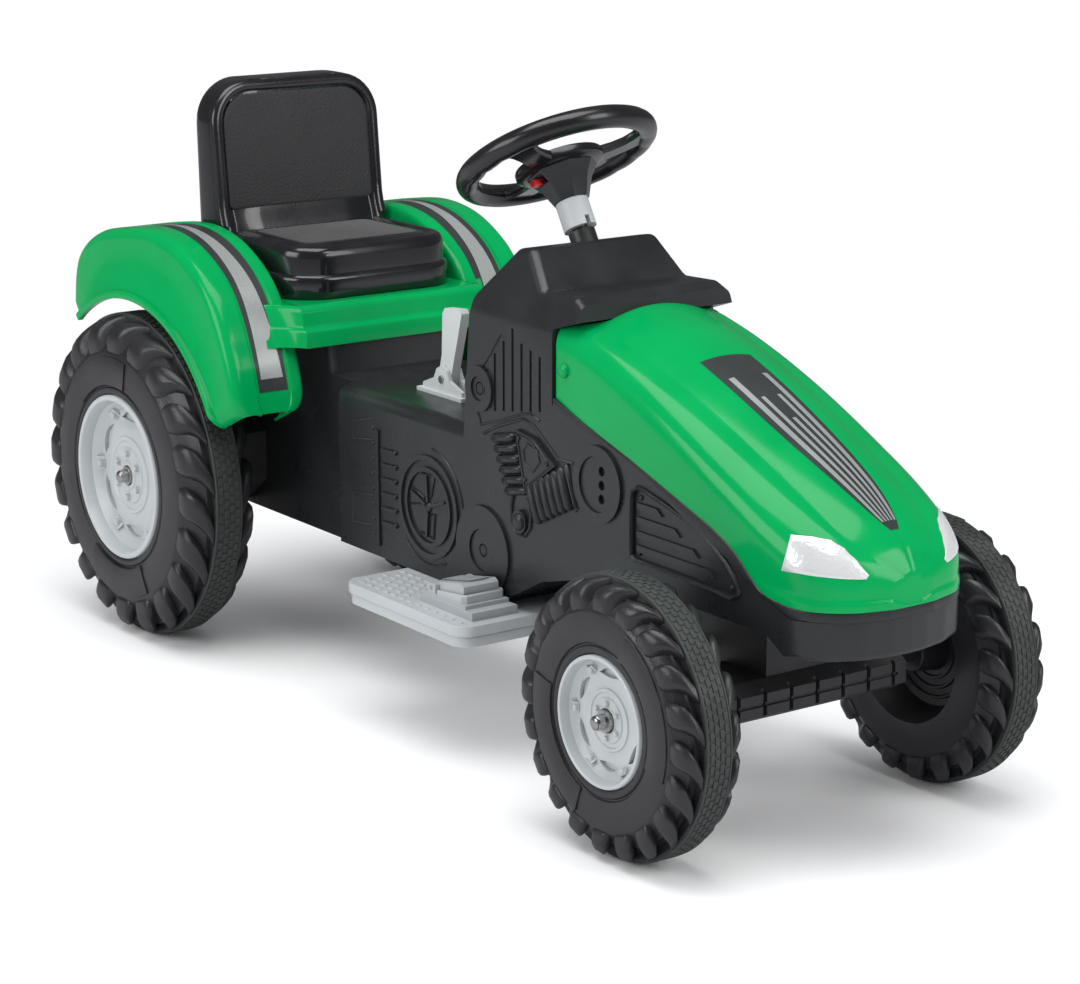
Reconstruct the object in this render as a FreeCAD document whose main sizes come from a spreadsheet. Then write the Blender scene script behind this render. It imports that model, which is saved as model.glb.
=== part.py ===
import FreeCAD, Part
import math
import os

import Sketcher

Vector = FreeCAD.Vector
forward = Vector(1, 0, 0)
up = Vector(0, 0, 1)
doc = FreeCAD.newDocument("ride_on_tractor")

# Driving sizes, in millimetres and degrees. +X is forward, +Y is left, +Z is up.
SIZES = {
    # Wheels and axles
    "wheelbase": 851,
    "rear_axle_x": -420,
    "front_tyre_radius": 127,
    "front_tyre_width": 64,
    "front_track_half": 176,
    "front_band_width": 27,
    "front_cap_radius": 59,
    "rear_tyre_radius": 175,
    "rear_tyre_width": 78,
    "rear_track_half": 180,
    "rear_band_width": 31,
    "rear_cap_radius": 89,
    "band_thickness": 5,
    "tyre_wall": 3.5,
    "lug_depth": 7,
    "lug_count": 20,
    "axle_radius": 6,
    "hub_radius": 15,
    "axle_tip": 16,
    "nut_radius": 10,
    "nut_height": 7,
    # Fits
    "run_clearance": 0.08,
    "part_clearance": 0.3,
    "link_clearance": 1.2,
    # Front axle and steering linkage
    "kingpin_y": 122,
    "kingpin_radius": 5,
    "beam_height": 38,
    "beam_half_width": 105,
    "beam_back": 36,
    "beam_front": 45,
    "ear_thickness": 6,
    "knuckle_arm": 66,
    "arm_thickness": 9,
    "tie_thickness": 4,
    "tie_pin_radius": 4,
    # Steering column, measured from the centre of the steering wheel
    "column_tilt": 31,
    "ring_x": 82,
    "ring_z": 558,
    "ring_radius": 89,
    "ring_tube": 11,
    "cone_top": 16,
    "cone_bottom": 47,
    "cone_top_radius": 36,
    "cone_bottom_radius": 18,
    "collar_bottom": 75,
    "collar_radius": 16,
    "shaft_radius": 8,
    "shaft_length": 428,
    "crank_radius": 35,
    # Body halves
    "wall": 3.5,
    "body_half_width": 95,
    "rear_half_width": 76,
    "body_bottom": 140,
    "rear_bottom": 134,
    "nose_floor": 207,
    "floor_height": 305,
    "body_rear": -166,
    "pedestal_rear": -466,
    "tower_rear": 62,
    "dash_top": 486,
    "dash_top_half": 73,
    "dash_rounding": 10,
    "floor_rounding": 14,
    "nose_rounding": 40,
    "bumper_rounding": 6,
    "bumper_front": 595,
    "bumper_bottom": 191,
    "hood_line": 226,
    "boss_radius": 8,
    "screw_radius": 2.5,
    "screw_head_radius": 5.5,
    # Hood
    "hood_rear": 208,
    "hood_wall": 3,
    "lens_thickness": 1.5,
    # Fender deck
    "fender_inner": 110,
    "fender_outer": 195,
    "arch_radius": 190,
    "fender_wall": 3,
    "fender_rounding": 6,
    "deck_top": 380,
    "deck_bottom": 339,
    "deck_front": -198,
    "deck_rear": -490,
    "deck_half_width": 111,
    # Seat
    "seat_half_width": 104,
    "seat_front": -230,
    "seat_rear": -434,
    "seat_pan": 434,
    "seat_top": 592,
    "back_thickness": 38,
    "seat_corner": 46,
    # Footboard and pedal
    "board_rear": -41,
    "board_front": 168,
    "board_half_width": 172,
    "board_thickness": 22,
    "board_corner": 18,
    "pedal_hinge_x": 84,
    "pedal_length": 48,
    "pedal_width": 40,
    "pedal_y": -124,
    "housing_height": 12,
    # Gear lever
    "lever_pivot_x": -60,
    "lever_pivot_height": 17,
    "lever_y": -30,
    "lever_length": 74,
    "lever_thickness": 10,
    "lever_pin_radius": 4,
    # Drive and battery
    "gearbox_depth": 52,
    "drive_hub_radius": 22,
    "motor_radius": 18,
    "motor_length": 58,
    "battery_length": 150,
    "battery_width": 90,
    "battery_height": 94,
    "strap_thickness": 2,
}

sheet = doc.addObject("Spreadsheet::Sheet", "Dims")
for row, (alias, value) in enumerate(SIZES.items(), start=1):
    sheet.set(f"A{row}", alias)
    sheet.set(f"B{row}", str(value))
    sheet.setAlias(f"B{row}", alias)
doc.recompute()


class Size:
    """A length as a number, and as the sheet expression that gives that number."""

    def __init__(self, number, text):
        self.number = number
        self.text = text

    def __add__(self, other):
        other = as_size(other)
        return Size(self.number + other.number, f"({self.text} + {other.text})")

    def __sub__(self, other):
        other = as_size(other)
        return Size(self.number - other.number, f"({self.text} - {other.text})")

    def __mul__(self, other):
        other = as_size(other)
        return Size(self.number * other.number, f"({self.text} * {other.text})")

    def __truediv__(self, other):
        other = as_size(other)
        return Size(self.number / other.number, f"({self.text} / {other.text})")

    def __radd__(self, other):
        return as_size(other) + self

    def __rsub__(self, other):
        return as_size(other) - self

    def __rmul__(self, other):
        return as_size(other) * self

    def __neg__(self):
        return Size(-self.number, f"(-{self.text})")


def as_size(value):
    return value if isinstance(value, Size) else Size(float(value), f"({float(value)!r})")


def number(value):
    return value.number if isinstance(value, Size) else float(value)


class Dims:
    pass


D = Dims()
for alias in SIZES:
    setattr(D, alias, Size(float(sheet.get(alias)), f"Dims.{alias}"))


def bind(item, prop, value):
    item.setExpression(prop, as_size(value).text)


# Bodies, sketches and features. A "side" sketch has (x, z), and its normal points right (-Y);
# a "top" sketch has (x, y) and points up; a "front" sketch has (y, z) and points forward.
PLANES = {"side": "XZ_Plane", "top": "XY_Plane", "front": "YZ_Plane"}
NODES = []


def new_body(label, placement=None):
    body = doc.addObject("PartDesign::Body", label)
    body.Label = label
    if placement:
        body.Placement = placement
    NODES.append(body)
    return body


def new_sketch(body, view, offset=0):
    sketch = body.newObject("Sketcher::SketchObject", f"{body.Name}_sketch")
    planes = [item for item in body.Origin.OriginFeatures if item.Role == PLANES[view]]
    sketch.AttachmentSupport = (planes[0], [""])
    sketch.MapMode = "FlatFace"
    bind(sketch, "AttachmentOffset.Base.z", offset)
    return sketch


def hold_points(sketch, holds):
    """Hold points of a sketch, each (geometry, position, x, y), bound to the sheet where x or y is."""
    constraints = []
    bound = []
    first = sketch.ConstraintCount
    for geometry, position, x, y in holds:
        for axis, axis_line, value in (("DistanceX", -2, x), ("DistanceY", -1, y)):
            if abs(number(value)) < 1e-9:
                constraints.append(Sketcher.Constraint("PointOnObject", geometry, position, axis_line))
                continue
            if isinstance(value, Size):
                bound.append((first + len(constraints), value))
            constraints.append(Sketcher.Constraint(axis, -1, 1, geometry, position, number(value)))
    sketch.addConstraint(constraints)
    for index, value in bound:
        bind(sketch, f"Constraints[{index}]", value)


def outline(sketch, points):
    """Closed outline of straight edges through the points."""
    first = sketch.GeometryCount
    count = len(points)
    corners = [Vector(number(x), number(y), 0) for x, y in points]
    lines = [Part.LineSegment(corners[i], corners[(i + 1) % count]) for i in range(count)]
    sketch.addGeometry(lines)
    sketch.addConstraint([
        Sketcher.Constraint("Coincident", first + i, 2, first + (i + 1) % count, 1)
        for i in range(count)])
    hold_points(sketch, [(first + i, 1, x, y) for i, (x, y) in enumerate(points)])


def rectangle(sketch, x0, y0, x1, y1):
    outline(sketch, [(x0, y0), (x1, y0), (x1, y1), (x0, y1)])


def circle(sketch, x, y, radius):
    geometry = sketch.addGeometry(
        Part.Circle(Vector(number(x), number(y), 0), Vector(0, 0, 1), number(radius)))
    index = sketch.addConstraint(Sketcher.Constraint("Radius", geometry, number(radius)))
    if isinstance(radius, Size):
        bind(sketch, f"Constraints[{index}]", radius)
    hold_points(sketch, [(geometry, 3, x, y)])


def slot_hole(sketch, x0, x1, y, radius):
    """Slot with round ends, along the sketch's first axis."""
    first = sketch.GeometryCount
    r = number(radius)
    a = Vector(number(x0), number(y), 0)
    b = Vector(number(x1), number(y), 0)
    up = Vector(0, r, 0)
    axis = Vector(0, 0, 1)
    quarter = math.pi / 2
    sketch.addGeometry([
        Part.ArcOfCircle(Part.Circle(a, axis, r), quarter, 3 * quarter),
        Part.ArcOfCircle(Part.Circle(b, axis, r), -quarter, quarter),
        Part.LineSegment(a - up, b - up),
        Part.LineSegment(b + up, a + up)])
    sketch.addConstraint([
        Sketcher.Constraint("Tangent", first, 2, first + 2, 1),
        Sketcher.Constraint("Tangent", first + 2, 2, first + 1, 1),
        Sketcher.Constraint("Tangent", first + 1, 2, first + 3, 1),
        Sketcher.Constraint("Tangent", first + 3, 2, first, 1),
        Sketcher.Constraint("Equal", first, first + 1)])
    hold_points(sketch, [(first, 3, x0, y), (first + 1, 3, x1, y)])
    index = sketch.addConstraint(Sketcher.Constraint("Radius", first, r))
    bind(sketch, f"Constraints[{index}]", radius)


def add_feature(kind, sketch, length, reverse=False, both=False):
    body = sketch.getParentGeoFeatureGroup()
    feature = body.newObject(f"PartDesign::{kind}", f"{body.Name}_{kind.lower()}")
    feature.Profile = sketch
    feature.Reversed = reverse
    if both:
        feature.SideType = "Symmetric"
    bind(feature, "Length", length)
    return feature


def pad(sketch, length, reverse=False):
    return add_feature("Pad", sketch, length, reverse)


def pocket(sketch, length, reverse=False, both=False):
    return add_feature("Pocket", sketch, length, reverse, both)


def revolve(body, *loops):
    """Turn a section, loops of (radius, y) points, about the body's own Y axis."""
    sketch = new_sketch(body, "top")
    for points in loops:
        outline(sketch, points)
    feature = body.newObject("PartDesign::Revolution", f"{body.Name}_revolution")
    feature.Profile = sketch
    feature.ReferenceAxis = (sketch, ["V_Axis"])
    feature.Angle = 360
    return feature


def polar_pattern(features, axis_sketch, count):
    body = axis_sketch.getParentGeoFeatureGroup()
    pattern = body.newObject("PartDesign::PolarPattern", f"{body.Name}_pattern")
    pattern.Originals = features
    pattern.Axis = (axis_sketch, ["N_Axis"])
    pattern.Angle = 360
    bind(pattern, "Occurrences", count)
    body.Tip = pattern
    return pattern


def round_edges(body, radius, chosen):
    """Fillet those edges of the body's last feature that the test picks."""
    doc.recompute()
    last = body.Tip
    names = [f"Edge{i}" for i, edge in enumerate(last.Shape.Edges, start=1) if chosen(edge)]
    fillet = body.newObject("PartDesign::Fillet", f"{body.Name}_fillet")
    fillet.Base = (last, names)
    bind(fillet, "Radius", radius)
    return fillet


def is_along(edge, axis):
    if edge.Degenerated or edge.Curve.TypeId != "Part::GeomLine":
        return False
    return edge.Curve.Direction.cross(axis).Length < 1e-6


def at(x, y, z, turn=None):
    base = Vector(number(x), number(y), number(z))
    return FreeCAD.Placement(base, turn or FreeCAD.Rotation())


def slab(side, near, far):
    """Offset of a side sketch, and pad length, for a slab from near to far on one side."""
    if side < 0:
        return near, far - near
    return -far, far - near


def inset(points, distance):
    """The same outline drawn in by a distance all round; points run counter-clockwise."""
    corners = [(number(x), number(y)) for x, y in points]
    moved = []
    count = len(corners)
    for i, here in enumerate(corners):
        before = corners[i - 1]
        after = corners[(i + 1) % count]
        a = math.atan2(here[1] - before[1], here[0] - before[0])
        b = math.atan2(after[1] - here[1], after[0] - here[0])
        middle = a + (b - a + math.pi) % (2 * math.pi) - math.pi
        half = (middle - a) / 2
        reach = number(distance) / math.cos(half)
        moved.append((here[0] - reach * math.sin(a + half), here[1] + reach * math.cos(a + half)))
    return moved


def primitive(kind, label, placement=None, node=True, **sizes):
    item = doc.addObject(f"Part::{kind}", label)
    item.Label = label
    for prop, value in sizes.items():
        bind(item, prop, value)
    if placement:
        item.Placement = placement
    if node:
        NODES.append(item)
    return item


def fused(label, pieces, placement=None):
    item = doc.addObject("Part::MultiFuse", label)
    item.Label = label
    item.Shapes = pieces
    if placement:
        item.Placement = placement
    NODES.append(item)
    return item


def shaped(label, shape):
    item = doc.addObject("Part::Feature", label)
    item.Label = label
    item.Shape = shape
    NODES.append(item)
    return item


front_axle_x = D.rear_axle_x + D.wheelbase
SIDES = {"right": -1, "left": 1}
ENDS = {"front": front_axle_x, "rear": D.rear_axle_x}


# Wheels: a blow-moulded tyre with its web and hub, a rubber band round it, a cap in its recess
def lug_points(radius, lean):
    """One tread lug, standing on the shoulder and leaning round the wheel."""
    low, high = radius * 0.85, radius - 1.5
    corners = ((low, -5.0), (high, -2.5 + lean), (high, 4.0 + lean), (low, 6.5))
    return [(r * math.sin(math.radians(a)), r * math.cos(math.radians(a))) for r, a in corners]


def wheel(end, name, side):
    radius = getattr(D, f"{end}_tyre_radius")
    half = getattr(D, f"{end}_tyre_width") / 2
    band = getattr(D, f"{end}_band_width") / 2
    cap = getattr(D, f"{end}_cap_radius")
    centre = at(ENDS[end], side * getattr(D, f"{end}_track_half"), radius)
    bore = D.axle_radius + D.run_clearance
    seat = radius - D.band_thickness
    recess = cap + D.part_clearance
    floor = half - cap * 0.42
    hub_end = half - cap * 0.2

    skin = D.tyre_wall
    dish = floor - skin * 1.5
    groove = seat - D.lug_depth

    tyre = new_body(f"{end}_tyre_{name}", centre)
    section = [
        (bore, -half + 5), (D.hub_radius + 4, -half + 5), (D.hub_radius + 8, dish),
        (cap * 0.95, dish), (cap + 8, -half), (radius * 0.8, -half),
        (radius * 0.88, -half + 6), (groove, -band), (seat, -band), (seat, band),
        (groove, band), (radius * 0.88, half - 6), (radius * 0.8, half), (cap + 8, half),
        (recess, half - 5), (recess, floor), (D.hub_radius, floor),
        (D.hub_radius, hub_end - 4), (bore, hub_end - 4)]
    root = cap + 8 + skin
    hollow = [
        (root, -half + skin), (radius * 0.8 - skin, -half + skin),
        (radius * 0.88 - skin * 2, -half + skin * 3), (groove - skin, -band), (groove - skin, band),
        (radius * 0.88 - skin * 2, half - skin * 3), (radius * 0.8 - skin, half - skin), (root, half - skin)]
    revolve(tyre, *[[(r, y * side) for r, y in loop] for loop in (section, hollow)])
    lugs = []
    for way, lean in ((side, 4.0), (-side, 13.0)):
        offset, length = slab(way, band, half - 1)
        sketch = new_sketch(tyre, "side", offset)
        outline(sketch, lug_points(radius, lean))
        lugs.append(pad(sketch, length))
    polar_pattern(lugs, sketch, D.lug_count)

    ring = new_body(f"{end}_band_{name}", centre)
    inner = seat + D.run_clearance
    revolve(ring, [(inner, -band), (radius, -band), (radius, band), (inner, band)])

    cover = new_body(f"{end}_hub_cap_{name}", centre)
    hole = D.axle_radius + 1
    face = [
        (hole, hub_end), (cap * 0.34, hub_end), (cap * 0.36, hub_end - 2), (cap * 0.56, hub_end - 2),
        (cap * 0.74, floor + 3), (cap - 4, half + 1.5), (cap, half + 1.5), (cap, half - 7),
        (cap * 0.8, floor + 0.3), (cap * 0.7, floor + 0.3), (cap * 0.53, hub_end - 5),
        (D.hub_radius + 1, hub_end - 5), (D.hub_radius + 1, hub_end - 3.5), (hole, hub_end - 3.5)]
    revolve(cover, [(r, y * side) for r, y in face])
    slots = new_sketch(cover, "side")
    lens = ((0.66, -15), (0.73, -8), (0.75, 0), (0.73, 8), (0.66, 15), (0.68, 0))
    outline(slots, [(cap * share * math.sin(math.radians(a)), cap * share * math.cos(math.radians(a)))
                    for share, a in lens])
    polar_pattern([pocket(slots, half * 4, both=True)], slots, 6)
    offset, length = slab(side, hub_end - 3, hub_end + 3)
    bolts = new_sketch(cover, "side", offset)
    circle(bolts, 0, cap * 0.27, cap * 0.045 + 0.5)
    polar_pattern([pad(bolts, length)], bolts, 6)


for end in ENDS:
    for name, side in SIDES.items():
        wheel(end, name, side)


def hub_face(end):
    """Distance from the centre plane to the outer face of a wheel's hub cap."""
    half = getattr(D, f"{end}_tyre_width") / 2
    return getattr(D, f"{end}_track_half") + half - getattr(D, f"{end}_cap_radius") * 0.2


def axle_nut(label, end, side):
    """Round nut screwed on an axle end, just clear of the turning hub cap."""
    body = new_body(label, at(ENDS[end], 0, getattr(D, f"{end}_tyre_radius")))
    near = hub_face(end) + D.part_clearance
    offset, length = slab(side, near, near + D.nut_height)
    sketch = new_sketch(body, "side", offset)
    circle(sketch, 0, 0, D.nut_radius)
    circle(sketch, 0, 0, D.axle_radius)
    pad(sketch, length)


for end in ENDS:
    for name, side in SIDES.items():
        axle_nut(f"{end}_axle_nut_{name}", end, side)


# Rear axle rod, through both body walls and the gearbox
rear_axle = new_body("rear_axle", at(D.rear_axle_x, 0, D.rear_tyre_radius))
tip = hub_face("rear") + D.axle_tip
rod = new_sketch(rear_axle, "side", -tip)
circle(rod, 0, 0, D.axle_radius)
pad(rod, tip * 2)

# Front axle beam: a ribbed bar with a fork at each end and a post up to the nose floor
axle_z = D.front_tyre_radius
beam_low = axle_z - D.beam_height / 2
beam_high = axle_z + D.beam_height / 2
beam = new_body("front_axle_beam")
bar = new_sketch(beam, "side", -D.beam_half_width)
back = front_axle_x - D.beam_back
front = front_axle_x + D.beam_front
outline(bar, [
    (back, beam_low + 6), (back + 7, beam_low), (front - 16, beam_low), (front, beam_low + 9),
    (front, beam_high - 9), (front - 14, beam_high), (back + 7, beam_high), (back, beam_high - 6)])
pad(bar, D.beam_half_width * 2)
post = new_sketch(beam, "top", beam_high - 1)
rectangle(post, front_axle_x - 30, -D.beam_half_width * 0.45, front_axle_x + 30, D.beam_half_width * 0.45)
pad(post, D.nose_floor - beam_high + 1)
ear_reach = D.kingpin_y + 15
for side in SIDES.values():
    for low in (beam_low, beam_high - D.ear_thickness):
        ear = new_sketch(beam, "top", low)
        root = (D.beam_half_width - 2) * side
        outline(ear, [
            (front_axle_x - 18, root), (front_axle_x + 18, root), (front_axle_x + 18, (ear_reach - 9) * side),
            (front_axle_x + 9, ear_reach * side), (front_axle_x - 9, ear_reach * side),
            (front_axle_x - 18, (ear_reach - 9) * side)])
        pad(ear, D.ear_thickness)
holes = new_sketch(beam, "top")
for side in SIDES.values():
    circle(holes, front_axle_x, D.kingpin_y * side, D.kingpin_radius)
pocket(holes, beam_high + 10, reverse=True)
groove_row = new_sketch(beam, "side")
rectangle(groove_row, front - 2.5, axle_z - 1.5, front + 5, axle_z + 1.5)
pocket(groove_row, D.beam_half_width * 2 - 20, both=True)
groove = new_sketch(beam, "top", beam_low - 1)
block_pitch = D.beam_half_width * 2 / 7
rectangle(groove, front - 5, -block_pitch * 3 - 2, front + 5, -block_pitch * 3 + 2)
first_groove = pocket(groove, D.beam_height + 2, reverse=True)
grooves = beam.newObject("PartDesign::LinearPattern", "front_axle_beam_grooves")
grooves.Originals = [first_groove]
grooves.Direction = (groove, ["V_Axis"])
bind(grooves, "Length", block_pitch * 6)
grooves.Occurrences = 7
beam.Tip = grooves

# Steering knuckles: a barrel on the kingpin, a stub axle outwards, an arm back to the tie rod
barrel_low = beam_low + D.ear_thickness + D.part_clearance
barrel_high = beam_high - D.ear_thickness - D.part_clearance
tie_low = barrel_high + D.ear_thickness * 2
arm_high = tie_low - D.part_clearance
arm_low = arm_high - D.arm_thickness
pin_x = front_axle_x - D.knuckle_arm
for name, side in SIDES.items():
    primitive("Cylinder", f"kingpin_{name}", at(front_axle_x, D.kingpin_y * side, beam_low),
              Radius=D.kingpin_radius, Height=D.beam_height)

    knuckle = new_body(f"knuckle_{name}")
    barrel = new_sketch(knuckle, "top", barrel_low)
    circle(barrel, front_axle_x, D.kingpin_y * side, D.kingpin_radius + 7)
    pad(barrel, barrel_high - barrel_low)
    offset, length = slab(side, D.kingpin_y + 4, hub_face("front") + D.axle_tip)
    stub = new_sketch(knuckle, "side", offset)
    circle(stub, front_axle_x, axle_z, D.axle_radius)
    pad(stub, length)
    inner_hub = D.front_track_half - D.front_tyre_width / 2 + 5 - D.part_clearance
    offset, length = slab(side, D.kingpin_y + 4, inner_hub)
    shoulder = new_sketch(knuckle, "side", offset)
    circle(shoulder, front_axle_x, axle_z, D.axle_radius + 4)
    pad(shoulder, length)
    offset, length = slab(side, D.kingpin_y - 2, D.kingpin_y + 6)
    web = new_sketch(knuckle, "side", offset)
    outline(web, [
        (front_axle_x - 8, barrel_low + 4), (front_axle_x - 8, barrel_high - 3),
        (front_axle_x - 24, barrel_high - 3), (pin_x + 12, arm_high), (pin_x, arm_high),
        (pin_x, arm_low), (pin_x + 12, arm_low)])
    pad(web, length)
    arm_end = new_sketch(knuckle, "top", arm_low)
    circle(arm_end, pin_x, D.kingpin_y * side, D.tie_pin_radius + 3)
    pad(arm_end, D.arm_thickness)
    pivot = new_sketch(knuckle, "top", arm_high - 1)
    circle(pivot, pin_x, D.kingpin_y * side, D.tie_pin_radius)
    pad(pivot, D.tie_thickness + 8)
    bore = new_sketch(knuckle, "top")
    circle(bore, front_axle_x, D.kingpin_y * side, D.kingpin_radius + D.run_clearance)
    pocket(bore, beam_high + 10, reverse=True)

# Steering column in its own leaning frame: its axis is local Z, forward is local X
column = at(D.ring_x, 0, D.ring_z, FreeCAD.Rotation(Vector(0, 1, 0), -D.column_tilt.number))
lean = math.radians(D.column_tilt.number)
cos_lean = Size(math.cos(lean), "cos(Dims.column_tilt)")
sin_lean = Size(math.sin(lean), "sin(Dims.column_tilt)")
tan_lean = Size(math.tan(lean), "tan(Dims.column_tilt)")

# Tie rod: a stamped plate with a hole for each knuckle pin and a slotted tongue for the crank
tie_middle = tie_low + D.tie_thickness / 2
crank_x = D.ring_x + (D.ring_z - tie_middle) * tan_lean - D.crank_radius / cos_lean
swing = D.crank_radius * 0.28
tie_rod = new_body("tie_rod")
plate = new_sketch(tie_rod, "top", tie_low)
reach = D.kingpin_y + 12
outline(plate, [
    (pin_x + 12, -reach), (pin_x + 12, reach), (pin_x - 10, reach), (pin_x - 10, 14), (crank_x - 18, 14),
    (crank_x - 18, -14), (pin_x - 10, -14), (pin_x - 10, -reach)])
pad(plate, D.tie_thickness)
tie_holes = new_sketch(tie_rod, "top", tie_low - 1)
slot_hole(tie_holes, crank_x - 4, crank_x + swing + 4, 0, D.tie_pin_radius + D.link_clearance)
for side in SIDES.values():
    slot_hole(tie_holes, pin_x - 0.5, pin_x + D.knuckle_arm * 0.065, D.kingpin_y * side,
              D.tie_pin_radius + D.link_clearance / 2)
pocket(tie_holes, D.tie_thickness + 2, reverse=True)

# Steering shaft with its crank and crank pin
shaft = new_body("steering_shaft", column)
rod = new_sketch(shaft, "top", -D.shaft_length)
circle(rod, 0, 0, D.shaft_radius)
pad(rod, D.shaft_length - D.cone_bottom + 12)
crank = new_sketch(shaft, "top", -D.shaft_length - 4)
outline(crank, [
    (D.shaft_radius, -D.shaft_radius - 3), (D.shaft_radius, D.shaft_radius + 3),
    (-D.crank_radius - 4, 7), (-D.crank_radius - 8, 0), (-D.crank_radius - 4, -7)])
pad(crank, 10)
crank_end_z = D.ring_z - D.shaft_length * cos_lean - D.crank_radius * sin_lean
pin_length = (crank_end_z - tie_low) / cos_lean + 6
crank_pin = new_sketch(shaft, "top", -D.shaft_length - pin_length)
circle(crank_pin, -D.crank_radius, 0, D.tie_pin_radius)
pad(crank_pin, pin_length)

# Collar, cone housing and steering wheel on the top of the shaft
collar = new_body("steering_collar", column)
ring = new_sketch(collar, "top", -D.collar_bottom)
circle(ring, 0, 0, D.collar_radius)
circle(ring, 0, 0, D.shaft_radius + D.run_clearance)
pad(ring, D.collar_bottom - D.cone_bottom)
key = new_sketch(collar, "side")
rectangle(key, 4, -D.collar_bottom - 1, D.collar_radius + 2, -D.collar_bottom + 8)
pocket(key, 5, both=True)


def facet_ring(radius, height, count=8):
    """Regular outline of a faceted housing, a flat facing forward."""
    turn = math.pi / count
    corners = [Vector(radius * math.cos(turn * (2 * i + 1)), radius * math.sin(turn * (2 * i + 1)), height)
               for i in range(count)]
    return Part.makePolygon(corners + corners[:1])


cone_top = -D.cone_top.number
cone_bottom = -D.cone_bottom.number
cone_wires = [
    facet_ring(D.cone_bottom_radius.number, cone_bottom),
    facet_ring((D.cone_bottom_radius.number + D.cone_top_radius.number) / 2, cone_bottom * 0.58),
    facet_ring(D.cone_top_radius.number, cone_top)]
cone = Part.makeLoft(cone_wires, True, True)
shaft_bore = D.shaft_radius.number + D.run_clearance.number
cone = cone.cut(Part.makeCylinder(shaft_bore, 13, Vector(0, 0, cone_bottom - 1)))
switch_y = -D.cone_top_radius.number
switch_slot = Part.makeBox(16, 14, 7, Vector(-8, switch_y, cone_bottom * 0.5 - 3.5))
cone = cone.cut(switch_slot)
cone_housing = shaped("steering_cone", cone)
cone_housing.Placement = column
switch = Part.makeBox(8, 12, 6, Vector(-7.5, switch_y + 1.7, cone_bottom * 0.5 - 3))
music_switch = shaped("sound_switch", switch)
music_switch.Placement = column

rim = primitive("Torus", "ring_tube", node=False, Radius1=D.ring_radius, Radius2=D.ring_tube)
hub_disc = primitive("Cylinder", "ring_hub", at(0, 0, -D.cone_top), node=False,
                     Radius=D.cone_top_radius + 2, Height=12)
button_well = primitive("Cylinder", "button_well", at(0, 0, -D.cone_top + 6), node=False,
                        Radius=16, Height=20)
hub = doc.addObject("Part::Cut", "ring_hub_cut")
hub.Base = hub_disc
hub.Tool = button_well
spokes = []
for index in range(3):
    turn = FreeCAD.Rotation(Vector(0, 0, 1), 180 + 120 * index)
    corner = turn.multVec(Vector(D.cone_top_radius.number - 2, -13, -14))
    spokes.append(primitive("Box", f"ring_spoke_{index}", FreeCAD.Placement(corner, turn), node=False,
                            Length=D.ring_radius - D.cone_top_radius - D.ring_tube * 0.4, Width=26, Height=9))
fused("steering_wheel", [rim, hub] + spokes, column)
button_travel = 2
button_low = cone_top + 6 + button_travel + D.part_clearance.number
button = Part.makeCylinder(16 - D.part_clearance.number, 6, Vector(0, 0, button_low))
horn_button = shaped("horn_button", button)
horn_button.Placement = column

# Body halves. Outlines run counter-clockwise seen from the right; the hood rests on the upper line.
tower_front = D.hood_rear - 2
hood_seat = [(tower_front, 351), (338, 313), (468, 261), (514, 239), (542, D.hood_line)]
ledge_low = [(tower_front, 421), (238, 431)]
keel = [
    (D.body_rear, D.body_bottom), (118, D.body_bottom), (190, 178), (300, D.nose_floor), (516, D.nose_floor)]
bumper = [
    (541, D.bumper_bottom), (D.bumper_front, D.bumper_bottom), (D.bumper_front, D.hood_line)]
dash = ledge_low + [
    (238, 446), (226, 452), (178, 450), (143, D.dash_top), (121, D.dash_top - 4), (D.tower_rear + 12, 437)]
floor_line = [(D.tower_rear, D.floor_height), (D.body_rear, D.floor_height)]
body_outline = keel + bumper + hood_seat[::-1] + dash + floor_line
shoulder_z = 405
dash_edge_z = 428
dash_lip_x = 237
bumper_start = 541.5
lower_hollow = keel + hood_seat[-2::-1] + [
    (tower_front, shoulder_z + D.wall), (D.tower_rear + 9, shoulder_z + D.wall)] + floor_line
dash_hollow = [(D.tower_rear + 8, shoulder_z - 15), (tower_front, shoulder_z - 15)] + dash
pedestal_front = D.deck_front - D.fender_wall - 5
pedestal_top = D.deck_top - D.fender_wall
rear_outline = [
    (D.pedestal_rear, D.rear_bottom), (D.body_rear + 8, D.rear_bottom), (D.body_rear + 8, D.floor_height),
    (pedestal_front, D.floor_height + 2), (pedestal_front - 12, pedestal_top),
    (D.pedestal_rear, pedestal_top)]
nose_corner = [
    (500, 96), (545, 93), (572, 76), (587, 46), (593, 18), (594, 0), (640, 0), (640, 130), (500, 130)]
motor_place = (D.rear_axle_x + 48, D.rear_tyre_radius + 30)
hood_screw = (D.hood_rear + 14, 385)
relief = 3
head_sink = 5
sunk_screws = [(95, 188), (90, 346)]
rear_screw = (-300, 320)
screw_places = sunk_screws + [rear_screw]
bush_radius = D.shaft_radius + 5


def relief_bar(sketch, x, z, length, width, turn):
    """Narrow bar of a relief, centred on (x, z) and turned by some degrees."""
    c = math.cos(math.radians(turn))
    s = math.sin(math.radians(turn))
    outline(sketch, [
        (x + c * u - s * v, z + s * u + c * v)
        for u, v in ((-length, -width), (length, -width), (length, width), (-length, width))])


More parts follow.
